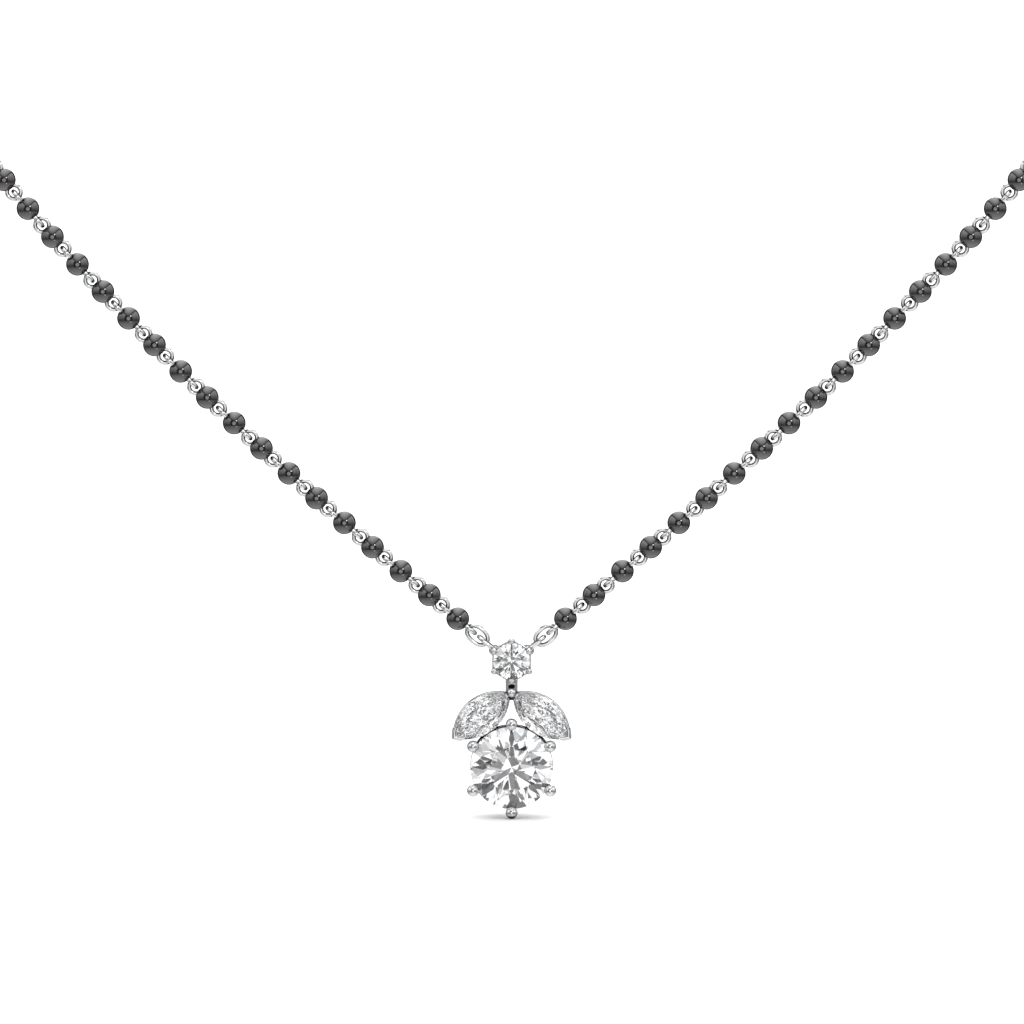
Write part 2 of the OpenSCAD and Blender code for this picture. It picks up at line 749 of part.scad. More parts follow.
module pendant_frame() {
    color(metal)
        hung()
            difference() {
                union() {
                    main_basket();
                    small_basket();
                    shared_prong();
                    bar();
                    for (side = [0, 1])
                        mirror([side, 0, 0]) {
                            at_marquise() marquise_basket();
                            solder_bridge();
                            eyelet();
                        }
                }
                brilliant_seat(main_d, main_table_d, main_crown_h, main_girdle_h,
                    main_pavilion_h);
                translate([0, top_y, 0])
                    brilliant_seat(top_d, top_table_d, top_crown_h, top_girdle_h,
                        top_pavilion_h);
                for (side = [0, 1])
                    mirror([side, 0, 0]) at_marquise() marquise_seat();
            }
}

module main_stone() {
    color(crystal)
        hung()
            rotate([0, 0, 90])
                brilliant(main_d, main_table_d, main_crown_h, main_girdle_h, main_pavilion_h);
}

module top_stone() {
    color(crystal)
        hung()
            translate([0, top_y, 0])
                rotate([0, 0, 90])
                    brilliant(top_d, top_table_d, top_crown_h, top_girdle_h, top_pavilion_h);
}

module marquise_right() {
    color(crystal) hung() at_marquise() marquise();
}

module marquise_left() {
    mirror([1, 0, 0]) marquise_right();
}

black_beads_left();
black_beads_right();
bead_wires_left();
bead_wires_right();
oval_link_left();
oval_link_right();
hook_link_left();
hook_link_right();
back_chain_left();
back_chain_right();
clasp();
clasp_ring();
pendant_frame();
main_stone();
marquise_left();
marquise_right();
top_stone();
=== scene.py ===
"""Looks of the mangalsutra: black onyx beads on white gold wire, and four diamonds.

Every size inside the classes is in millimetres, on the frame's own axes: +Z up, the front
faces -Y, and the origin is the point of the nape that the clasp rests on. Meshes are turned
to metres when they become objects.
"""

import logging
import math
from dataclasses import dataclass
from enum import Enum
from typing import Callable, Optional, Sequence

import bpy
import numpy as np
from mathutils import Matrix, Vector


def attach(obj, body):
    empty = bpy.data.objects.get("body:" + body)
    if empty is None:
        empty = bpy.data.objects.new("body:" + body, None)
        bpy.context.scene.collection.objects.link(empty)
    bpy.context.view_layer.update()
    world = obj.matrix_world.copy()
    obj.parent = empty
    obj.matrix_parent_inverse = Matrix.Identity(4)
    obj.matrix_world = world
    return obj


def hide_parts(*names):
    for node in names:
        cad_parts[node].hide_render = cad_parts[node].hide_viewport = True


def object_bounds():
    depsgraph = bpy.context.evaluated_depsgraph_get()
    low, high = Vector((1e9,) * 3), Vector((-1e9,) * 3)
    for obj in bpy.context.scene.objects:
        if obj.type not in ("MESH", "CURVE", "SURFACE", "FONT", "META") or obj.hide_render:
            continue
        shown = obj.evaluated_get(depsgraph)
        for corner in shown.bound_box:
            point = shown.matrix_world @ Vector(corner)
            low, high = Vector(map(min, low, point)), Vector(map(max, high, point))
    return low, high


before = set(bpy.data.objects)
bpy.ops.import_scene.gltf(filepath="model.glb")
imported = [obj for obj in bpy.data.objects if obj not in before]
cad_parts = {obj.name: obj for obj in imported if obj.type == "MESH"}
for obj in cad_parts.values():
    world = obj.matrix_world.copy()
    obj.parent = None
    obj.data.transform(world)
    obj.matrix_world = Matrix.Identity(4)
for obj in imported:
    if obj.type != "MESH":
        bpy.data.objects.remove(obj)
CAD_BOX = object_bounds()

LOG = logging.getLogger("mangalsutra")
MM = 0.001


class Body(Enum):
    """CAD body that a piece rides on."""

    NECKLACE = "necklace"
    PENDANT = "pendant"


class Slot(Enum):
    """Material slot of the record."""

    ONYX = "onyx"
    WHITE_GOLD = "white_gold"
    DIAMOND = "diamond"


class Cut(Enum):
    """Joining or cutting of two solids."""

    JOIN = "UNION"
    CUT = "DIFFERENCE"
    KEEP = "INTERSECT"


# ---------------------------------------------------------------- shapes


def unit(v: Sequence[float]) -> np.ndarray:
    """The vector at length one."""
    v = np.asarray(v, float)
    return v / np.linalg.norm(v)


def matrix(x: Sequence[float], y: Sequence[float], z: Sequence[float],
           at: Sequence[float]) -> np.ndarray:
    """Placement matrix from three axes and an origin.

    Args:
        x: direction of local X
        y: direction of local Y
        z: direction of local Z
        at: origin
    Returns:
        The 4 x 4 matrix.
    """
    m = np.eye(4)
    m[:3, 0], m[:3, 1], m[:3, 2], m[:3, 3] = x, y, z, at
    return m


def turn_z(degrees: float, at: Sequence[float] = (0, 0, 0)) -> np.ndarray:
    """Placement that turns about Z and then moves to a point."""
    c, s = math.cos(math.radians(degrees)), math.sin(math.radians(degrees))
    return matrix((c, s, 0), (-s, c, 0), (0, 0, 1), at)


def facing(axis: Sequence[float], at: Sequence[float]) -> np.ndarray:
    """Placement with local Z along an axis, its other axes wherever they fall.

    Args:
        axis: direction of local Z
        at: origin
    Returns:
        The 4 x 4 matrix.
    """
    z = unit(axis)
    helper = (1, 0, 0) if abs(z[0]) < 0.9 else (0, 1, 0)
    y = unit(np.cross(z, helper))
    return matrix(np.cross(y, z), y, z, at)


MIRROR_X = np.diag([-1.0, 1.0, 1.0, 1.0])


@dataclass
class Shape:
    """Mesh in millimetres, with an optional normal for each corner of each face."""

    points: np.ndarray
    faces: list
    normals: Optional[np.ndarray] = None

    def moved(self, m: np.ndarray) -> "Shape":
        """The shape in another place, its faces turned over where the matrix mirrors it.

        Args:
            m: 4 x 4 matrix
        Returns:
            The moved shape.
        """
        points = self.points @ m[:3, :3].T + m[:3, 3]
        normals = None if self.normals is None else self.normals @ m[:3, :3].T
        faces = self.faces
        if np.linalg.det(m[:3, :3]) < 0:
            faces = [tuple(f[::-1]) for f in faces]
            if normals is not None:
                ends = np.cumsum([len(f) for f in faces])
                order = np.concatenate(
                    [np.arange(e - len(f), e)[::-1] for e, f in zip(ends, faces)])
                normals = normals[order]
        return Shape(points, faces, normals)

    def repeated(self, places: Sequence[np.ndarray]) -> "Shape":
        """Copies of the shape at each place, as one shape."""
        return joined([self.moved(m) for m in places])

    def mirrored(self) -> "Shape":
        """The same shape on the other side of the middle plane."""
        return self.moved(MIRROR_X)

    def mesh(self, name: str, sharp: float) -> bpy.types.Mesh:
        """Blender mesh in metres, smooth but for edges sharper than an angle.

        Args:
            name: the mesh's name
            sharp: angle in degrees; 0 makes every face flat
        Returns:
            The mesh.
        """
        mesh = bpy.data.meshes.new(name)
        mesh.from_pydata((self.points * MM).tolist(), [], self.faces)
        if sharp > 0:
            mesh.shade_smooth()
            if self.normals is not None:
                mesh.normals_split_custom_set(self.normals.tolist())
            else:
                mesh.set_sharp_from_angle(angle=math.radians(sharp))
        return mesh


def joined(shapes: Sequence[Shape]) -> Shape:
    """Several shapes in one list of points and faces.

    Args:
        shapes: the shapes
    Returns:
        One shape; it keeps corner normals if all of them have some.
    """
    faces, start = [], 0
    for s in shapes:
        faces.extend(tuple(i + start for i in f) for f in s.faces)
        start += len(s.points)
    normals = None
    if all(s.normals is not None for s in shapes):
        normals = np.concatenate([s.normals for s in shapes])
    return Shape(np.concatenate([s.points for s in shapes]), faces, normals)


def loft(rings: np.ndarray, loop: bool, caps: bool = False) -> Shape:
    """Skin over closed rings of points.

    Args:
        rings: points, ring by ring, each ring counter-clockwise seen from ahead
        loop: the last ring joins the first
        caps: the first and last ring are closed with a face
    Returns:
        The shape.
    """
    rings = np.asarray(rings, float)
    n, m = rings.shape[:2]
    faces = []
    for i in range(n if loop else n - 1):
        a, b = i * m, (i + 1) % n * m
        faces.extend((a + j, a + (j + 1) % m, b + (j + 1) % m, b + j) for j in range(m))
    if caps:
        faces.append(tuple(range(m))[::-1])
        faces.append(tuple(range((n - 1) * m, n * m)))
    return Shape(rings.reshape(-1, 3), faces)


def circle(radius: float, sides: int) -> np.ndarray:
    """Points of a circle in two dimensions, counter-clockwise."""
    a = np.arange(sides) * 2 * math.pi / sides
    return radius * np.stack([np.cos(a), np.sin(a)], 1)


def bent_wire(line: np.ndarray, across: np.ndarray, wire_d: float, sides: int) -> Shape:
    """Round wire bent along a closed flat line.

    Args:
        line: points of its middle, in one plane
        across: unit normal of that plane
        wire_d: thickness
        sides: sides of the wire's own section
    Returns:
        The shape.
    """
    ahead = np.roll(line, -1, 0) - np.roll(line, 1, 0)
    ahead /= np.linalg.norm(ahead, axis=1)[:, None]
    out = np.cross(ahead, across)
    section = circle(wire_d / 2, sides)
    rings = (line[:, None] + section[None, :, :1] * out[:, None]
             + section[None, :, 1:] * np.asarray(across)[None, None])
    return loft(rings[:, ::-1], True)


def wire_ring(radius: float, wire_d: float, steps: int, sides: int) -> Shape:
    """Wire bent to a circle about local Z."""
    line = round_outline(radius, 0.0, steps)
    return bent_wire(line, np.array([0.0, 0.0, 1.0]), wire_d, sides)


def oval_link(near: float, far: float, width: float, wire_d: float, steps: int, sides: int,
              squareness: float = 0.0) -> Shape:
    """Oval link in the local YZ plane, with straight sides or bowed ones.

    Args:
        near: outer end nearest to the origin, at the middle of the wire
        far: the other end, at the middle of the wire
        width: outer width
        wire_d: thickness of the wire
        steps: steps of each end bend, or round the whole of a bowed link
        sides: sides of the wire's section
        squareness: 0 for straight sides, 2 for an ellipse, more for a squarer bow
    Returns:
        The link.
    """
    bend = (width - wire_d) / 2
    if squareness:
        a = np.arange(steps) * 2 * math.pi / steps
        bow_y, bow_z = (np.sign(v) * np.abs(v) ** (2 / squareness)
                        for v in (np.cos(a), np.sin(a)))
        line = np.stack([0 * a, bow_y * bend, (near + far) / 2 + bow_z * (far - near) / 2], 1)
    else:
        a = np.linspace(0, math.pi, steps + 1)
        top = np.stack([0 * a, bend * np.cos(a), far - bend + bend * np.sin(a)], 1)
        low = np.stack([0 * a, -bend * np.cos(a), near + bend - bend * np.sin(a)], 1)
        line = np.concatenate([top, low])
        line = line[np.linalg.norm(np.roll(line, -1, 0) - line, axis=1) > 1e-6]
    return bent_wire(line, np.array([1.0, 0.0, 0.0]), wire_d, sides)


def turned_part(profile: Sequence[Sequence[float]], steps: int) -> Shape:
    """Solid turned about local Z.

    Args:
        profile: radius and height of each corner, from the axis back to the axis
        steps: steps round the axis
    Returns:
        The shape.
    """
    profile = np.asarray(profile, float)
    body, low, high = profile[1:-1], profile[0, 1], profile[-1, 1]
    a = np.arange(steps) * 2 * math.pi / steps
    rings = np.stack([np.outer(body[:, 0], np.cos(a)), np.outer(body[:, 0], np.sin(a)),
                      np.broadcast_to(body[:, 1:], (len(body), steps))], 2)
    shape = loft(rings, False)
    first, top = len(shape.points), (len(body) - 1) * steps
    faces = shape.faces + [(first, (j + 1) % steps, j) for j in range(steps)]
    faces += [(first + 1, top + j, top + (j + 1) % steps) for j in range(steps)]
    return Shape(np.concatenate([shape.points, [[0, 0, low], [0, 0, high]]]), faces)


def rod(start: Sequence[float], end: Sequence[float], d: float, sides: int = 20) -> Shape:
    """Straight round rod between two points.

    Args:
        start: middle of its first end
        end: middle of its other end
        d: thickness
        sides: sides of its section
    Returns:
        The rod.
    """
    start, end = np.asarray(start, float), np.asarray(end, float)
    length = float(np.linalg.norm(end - start))
    part = turned_part([(0, 0), (d / 2, 0), (d / 2, length), (0, length)], sides)
    return part.moved(facing(end - start, start))


def combined(base: Shape, others: Sequence[Shape], how: Cut) -> Shape:
    """Joins closed solids to a closed solid, or cuts them from it.

    Args:
        base: the solid
        others: the solids joined to it or cut from it, one by one
        how: joined, cut, or only what they share kept
    Returns:
        The new solid.
    """
    scene = bpy.context.scene
    made = [bpy.data.objects.new("shape", s.mesh("shape", 0)) for s in [base, *others]]
    for o in made:
        scene.collection.objects.link(o)
    for other in made[1:]:
        step = made[0].modifiers.new("step", "BOOLEAN")
        step.operation, step.object, step.solver = how.value, other, "MANIFOLD"
    bpy.context.view_layer.update()
    cut = made[0].evaluated_get(bpy.context.evaluated_depsgraph_get()).to_mesh()
    points = np.array([v.co for v in cut.vertices], float).reshape(-1, 3) / MM
    faces = [tuple(p.vertices) for p in cut.polygons]
    for o in made:
        mesh = o.data
        bpy.data.objects.remove(o)
        bpy.data.meshes.remove(mesh)
    return Shape(points, faces)


def rounded_section(corners: Sequence[Sequence[float]], radius: float,
                    steps: int = 3) -> np.ndarray:
    """Section with each corner rounded.

    Args:
        corners: corners, counter-clockwise
        radius: rounding radius
        steps: steps of each rounding
    Returns:
        The points of the rounded section.
    """
    corners = np.asarray(corners, float)
    out = []
    for i, p in enumerate(corners):
        a, b = unit(corners[i - 1] - p), unit(corners[(i + 1) % len(corners)] - p)
        half = math.acos(float(np.clip(a @ b, -1, 1))) / 2
        centre = p + unit(a + b) * radius / math.sin(half)
        from_a = p + a * radius / math.tan(half) - centre
        from_b = p + b * radius / math.tan(half) - centre
        for k in range(steps + 1):
            t = k / steps
            out.append(centre + unit((1 - t) * from_a + t * from_b) * radius)
    return np.array(out)


@dataclass(frozen=True)
class Band:
    """Section of a wall: offsets of its sides, heights of its back and front, soft edge."""

    inner: float
    outer: float
    low: float
    high: float
    edge: float

    def along(self, outline: Callable[[float, float], np.ndarray]) -> Shape:
        """Wall of this section round a closed outline.

        Args:
            outline: gives the ring of points at an offset and a height
        Returns:
            The wall.
        """
        corners = [(self.outer, self.low), (self.outer, self.high), (self.inner, self.high),
                   (self.inner, self.low)]
        section = rounded_section(corners, self.edge)
        return loft([outline(offset, z) for offset, z in section], True)


def round_outline(radius: float, z: float, sides: int = 120) -> np.ndarray:
    """Circle of a radius at a height."""
    return np.column_stack([circle(radius, sides), np.full(sides, z)])


def polar(radius: float, degrees: float, z: float) -> np.ndarray:
    """Point at a radius, an angle and a height."""
    a = math.radians(degrees)
    return np.array([radius * math.cos(a), radius * math.sin(a), z])


def place(shape: Shape, name: str, finish: "Finish", body: Body, replaces: Sequence[str],
          sharp: float = 35) -> bpy.types.Object:
    """Turns a shape into a dressed piece that rides on its body.

    Args:
        shape: the shape, in its place in the frame
        name: the piece's name
        finish: its finish
        body: body that it rides on
        replaces: CAD nodes that it stands for
        sharp: angle above which an edge stays sharp; 0 makes every face flat
    Returns:
        The object.
    """
    obj = bpy.data.objects.new(name, shape.mesh(name, sharp))
    bpy.context.scene.collection.objects.link(obj)
    obj.data.materials.append(finish.material())
    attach(obj, body.value)
    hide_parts(*replaces)
    triangles = sum(len(f) - 2 for f in shape.faces)
    LOG.info("%s: %d triangles, stands for %s", name, triangles, ", ".join(replaces))
    return obj


# ---------------------------------------------------------------- finishes


def linear(colour: str) -> tuple:
    """Linear red, green, blue and alpha of an sRGB hex colour."""
    parts = [int(colour[i:i + 2], 16) / 255 for i in (1, 3, 5)]
    return tuple(c / 12.92 if c <= 0.04045 else ((c + 0.055) / 1.055) ** 2.4
                 for c in parts) + (1.0,)


def node(tree: bpy.types.NodeTree, kind: str, inputs: Optional[dict] = None,
         **settings: object) -> bpy.types.Node:
    """Adds a node with its settings and links.

    Args:
        tree: node tree that it goes in
        kind: Blender's name of the node type
        inputs: a value, or the socket to link, for each input by its name or number
        settings: attributes of the node
    Returns:
        The node.
    """
    made = tree.nodes.new(kind)
    for name, value in settings.items():
        setattr(made, name, value)
    for key, value in (inputs or {}).items():
        if isinstance(value, bpy.types.NodeSocket):
            tree.links.new(value, made.inputs[key])
        else:
            made.inputs[key].default_value = value
    return made


# where most of a noise texture's values lie
NOISE_LOW, NOISE_HIGH = 0.3, 0.7


@dataclass(frozen=True)
class Finish:
    """A surface finish, made once and used by every piece that has it."""

    name: str
    slot: Slot

    def material(self) -> bpy.types.Material:
        """The finish's material, built on first use.

        Returns:
            The material.
        """
        found = bpy.data.materials.get(self.name)
        if found:
            return found
        made = bpy.data.materials.new(self.name)
        made.use_nodes = True
        made.node_tree.nodes.clear()
        shader = self.shader(made.node_tree)
        node(made.node_tree, "ShaderNodeOutputMaterial", {"Surface": shader.outputs[0]})
        return made

    def shader(self, tree: bpy.types.NodeTree) -> bpy.types.Node:
        """The shader node of the finish, with what drives it."""
        raise NotImplementedError


@dataclass(frozen=True)
class RhodiumWhiteGold(Finish):
    """White gold, rhodium plated and polished on a soft wheel.

    The eye sees a cold white mirror that is very slightly softened by polishing haze, with
    faint wheel marks where it catches a light's edge. Narrow recesses get painted shade: the
    base colour is darkened there by an ambient-occlusion mask.
    """

    name: str = "rhodium_plated_white_gold"
    slot: Slot = Slot.WHITE_GOLD
    colour: str = "#EFEFEF"
    tint: str = "#E0E1E3"
    roughness: float = 0.045
    # colour of the painted shade that darkens narrow recesses
    painted_recess_shade: str = "#252425"
    metallic: float = 0.95
    # tint at a grazing angle, which keeps the rims of the wire grey
    edge: str = "#4A4A4A"
    # reach of the painted recess shade, and how open a spot is where it is all painted shade
    # and where it has none
    recess_mm: float = 0.7
    recess: tuple = (0.36, 0.78)
    # size of the polishing haze, and the roughness at both its ends as shares of the metal's
    haze_mm: float = 0.9
    haze: tuple = (0.7, 1.5)
    # a real wheel mark is under 0.01 mm wide; it is drawn this coarse or it wouldn't show
    wheel_mark_mm: float = 0.05
    mark_depth_mm: float = 0.0006
    mark_strength: float = 0.25

    def shader(self, tree: bpy.types.NodeTree) -> bpy.types.Node:
        """Polished metal with haze in its roughness, fine marks in its relief, and painted
        shade in its recesses.

        Args:
            tree: the material's node tree
        Returns:
            The shader node.
        """
        where = node(tree, "ShaderNodeTexCoord")
        haze = node(tree, "ShaderNodeTexNoise", {
            "Vector": where.outputs["Object"], "Scale": 1 / (self.haze_mm * MM),
            "Detail": 3.0})
        rough = node(tree, "ShaderNodeMapRange", {
            "Value": haze.outputs["Fac"], "From Min": NOISE_LOW, "From Max": NOISE_HIGH,
            "To Min": self.roughness * self.haze[0], "To Max": self.roughness * self.haze[1]})
        colour = node(tree, "ShaderNodeMix", {
            0: haze.outputs["Fac"], 6: linear(self.colour), 7: linear(self.tint)},
            data_type="RGBA")
        # painted shade: the base colour goes dark where ambient occlusion finds a recess
        reached = node(tree, "ShaderNodeAmbientOcclusion", {
            "Distance": self.recess_mm * MM}, samples=8)
        open_part = node(tree, "ShaderNodeMapRange", {
            "Value": reached.outputs["AO"], "From Min": self.recess[0],
            "From Max": self.recess[1]}, interpolation_type="SMOOTHSTEP")
        recess_shaded_colour = node(tree, "ShaderNodeMix", {
            0: open_part.outputs[0], 6: linear(self.painted_recess_shade), 7: colour.outputs[2]},
            data_type="RGBA")
        marks = node(tree, "ShaderNodeTexNoise", {
            "Vector": where.outputs["Object"], "Scale": 1 / (self.wheel_mark_mm * MM),
            "Detail": 1.0})
        relief = node(tree, "ShaderNodeBump", {
            "Height": marks.outputs["Fac"], "Distance": self.mark_depth_mm * MM,
            "Strength": self.mark_strength})
        return node(tree, "ShaderNodeBsdfPrincipled", {
            "Base Color": recess_shaded_colour.outputs[2], "Metallic": self.metallic,
            "Specular Tint": linear(self.edge),
            "Roughness": rough.outputs[0], "Normal": relief.outputs[0]})


@dataclass(frozen=True)
class PolishedOnyx(Finish):
    """Black onyx, dyed chalcedony tumbled and polished to a glassy surface.

    The eye sees a near-black body with sharp grey reflections, which painted shade darkens
    to black where the wire's eyes enter the slots; a weak brown banding shows only where a
    strong light grazes it.
    """

    name: str = "polished_black_onyx"
    slot: Slot = Slot.ONYX
    colour: str = "#0B0A0A"
    band: str = "#1A1615"
    # above the 1.54 of the mineral, matched to the strength of the beads' reflections
    ior: float = 2.2
    roughness: float = 0.03
    # width of a band, how much it winds, and the roughness at both its ends as shares
    band_mm: float = 1.6
    band_swirl: float = 1.5
    haze: tuple = (0.6, 1.6)
    # painted shade on the reflections beside the slots: the reflection tint it leaves, its
    # reach, and how open a spot is where it is full and where it has none
    painted_slot_shade: str = "#101010"
    well_mm: float = 0.7
    well: tuple = (0.72, 0.97)

    def shader(self, tree: bpy.types.NodeTree) -> bpy.types.Node:
        """Dark polished stone with weak banding, a trace of polishing haze, and painted shade
        on its reflections beside the slots.

        Args:
            tree: the material's node tree
        Returns:
            The shader node.
        """
        where = node(tree, "ShaderNodeTexCoord")
        bands = node(tree, "ShaderNodeTexNoise", {
            "Vector": where.outputs["Object"], "Scale": 1 / (self.band_mm * MM),
            "Detail": 2.0, "Distortion": self.band_swirl})
        colour = node(tree, "ShaderNodeMix", {
            0: bands.outputs["Fac"], 6: linear(self.colour), 7: linear(self.band)},
            data_type="RGBA")
        rough = node(tree, "ShaderNodeMapRange", {
            "Value": bands.outputs["Fac"], "From Min": NOISE_LOW, "From Max": NOISE_HIGH,
            "To Min": self.roughness * self.haze[0], "To Max": self.roughness * self.haze[1]})
        # painted shade: the reflections turn dark where ambient occlusion finds the slots
        reached = node(tree, "ShaderNodeAmbientOcclusion", {
            "Distance": self.well_mm * MM}, samples=8)
        gloss = node(tree, "ShaderNodeMapRange", {
            "Value": reached.outputs["AO"], "From Min": self.well[0],
            "From Max": self.well[1]}, interpolation_type="SMOOTHSTEP")
        slot_shaded_reflection = node(tree, "ShaderNodeMix", {
            0: gloss.outputs[0], 6: linear(self.painted_slot_shade), 7: (1, 1, 1, 1)}, data_type="RGBA")
        return node(tree, "ShaderNodeBsdfPrincipled", {
            "Base Color": colour.outputs[2], "IOR": self.ior, "Roughness": rough.outputs[0],
            "Specular Tint": slot_shaded_reflection.outputs[2]})


@dataclass(frozen=True)
class CutDiamond(Finish):
    """Colourless diamond, cut and polished to flat facets.

    The eye sees white light thrown back by the pavilion, broken into grey and black
    flashes by the facets, with a high gloss on the table.
    """

    name: str = "cut_diamond"
    slot: Slot = Slot.DIAMOND
    colour: str = "#FFFFFF"
    tint: str = "#F6F8FB"
    # share of its gloss that the surface keeps
    glare: str = "#B0B0B0"
    ior: float = 2.417
    body_mm: float = 4.0

    def shader(self, tree: bpy.types.NodeTree) -> bpy.types.Node:
        """Clear stone of high refraction, with a trace of body colour.

        Args:
            tree: the material's node tree
        Returns:
            The shader node.
        """
        where = node(tree, "ShaderNodeTexCoord")
        cloud = node(tree, "ShaderNodeTexNoise", {
            "Vector": where.outputs["Object"], "Scale": 1 / (self.body_mm * MM)})
        colour = node(tree, "ShaderNodeMix", {
            0: cloud.outputs["Fac"], 6: linear(self.colour), 7: linear(self.tint)},
            data_type="RGBA")
        return node(tree, "ShaderNodeBsdfPrincipled", {
            "Base Color": colour.outputs[2], "Roughness": 0.0, "IOR": self.ior,
            "Transmission Weight": 1.0, "Specular Tint": linear(self.glare)})


WHITE_GOLD = RhodiumWhiteGold()
ONYX = PolishedOnyx()
DIAMOND = CutDiamond()


# ---------------------------------------------------------------- strings


@dataclass(frozen=True)
class StringRoute:
    """Line that the right string follows, from the pendant's eyelet to the clasp."""

    # the right eyelet, then listed points up the side of the neck to the clasp
    start: tuple = (1.43760, -110.0, -104.04)
    points: tuple = (
        (16, -110, -91.6), (30, -110, -78.4), (44, -110, -63), (54.5, -105.5, -48),
        (60.5, -92, -36), (62, -74, -27), (60, -55.5, -19.5), (54, -38, -13),
        (44, -23, -7.5), (31, -11, -3.5), (16, -3, -1), (0, 0.5, 0))
    steps: int = 12
    # plane of the open V, depth behind it in which the string turns to face away from the
    # neck, the neck's middle, and the length that the string's direction is taken over
    hang_y: float = -110.0
    turn_depth: float = 30.0
    neck_y: float = -55.0
    reach: float = 3.235

    def line(self) -> tuple:
        """The route as short steps.

        Returns:
            Points along it, and the distance of each from its start.
        """
        knots = np.array([self.start, *self.points], float)
        before = 2 * knots[0] - knots[1]
        after = knots[-2] * np.array([-1, 1, 1])
        ends = np.concatenate([[before], knots, [after]])
        t = (np.arange(self.steps) / self.steps)[:, None]
        spans = []
        for a, b, c, d in zip(ends[:-3], ends[1:-2], ends[2:-1], ends[3:]):
            spans.append(0.5 * (2 * b + (c - a) * t + (2 * a - 5 * b + 4 * c - d) * t ** 2
                                + (3 * b - a - 3 * c + d) * t ** 3))
        path = np.concatenate([*spans, knots[-1:]])
        lengths = np.linalg.norm(np.diff(path, axis=0), axis=1)
        return path, np.concatenate([[0], np.cumsum(lengths)])

    def length(self) -> float:
        """Length of one side, from the eyelet to the middle of the clasp."""
        return float(self.line()[1][-1])

    def at(self, s: float) -> np.ndarray:
        """Point at a distance along the route."""
        path, far = self.line()
        return np.array([np.interp(s, far, path[:, k]) for k in range(3)])

    def outward(self, p: np.ndarray) -> np.ndarray:
        """Direction to the front in the open V, and away from the neck round its sides.

        Args:
            p: a point of the route
        Returns:
            The direction.
        """
        t = min(1.0, max(0.0, (p[1] - self.hang_y) / self.turn_depth))
        away = unit([p[0], p[1] - self.neck_y, 0]) if t > 0 else np.zeros(3)
        return unit((1 - t) * np.array([0, -1.0, 0]) + t * away)

    def placement(self, p: np.ndarray, ahead: np.ndarray) -> np.ndarray:
        """Placement with local Z along the string and local X facing outward.

        Args:
            p: origin
            ahead: direction of the string there
        Returns:
            The 4 x 4 matrix.
        """
        out = self.outward(p)
        x = unit(out - (out @ ahead) * ahead)
        return matrix(x, np.cross(ahead, x), ahead, p)

    def frame_at(self, s: float) -> np.ndarray:
        """Placement at a distance along the route, level with the string there."""
        ahead = unit(self.at(s + self.reach / 2) - self.at(s - self.reach / 2))
        return self.placement(self.at(s), ahead)


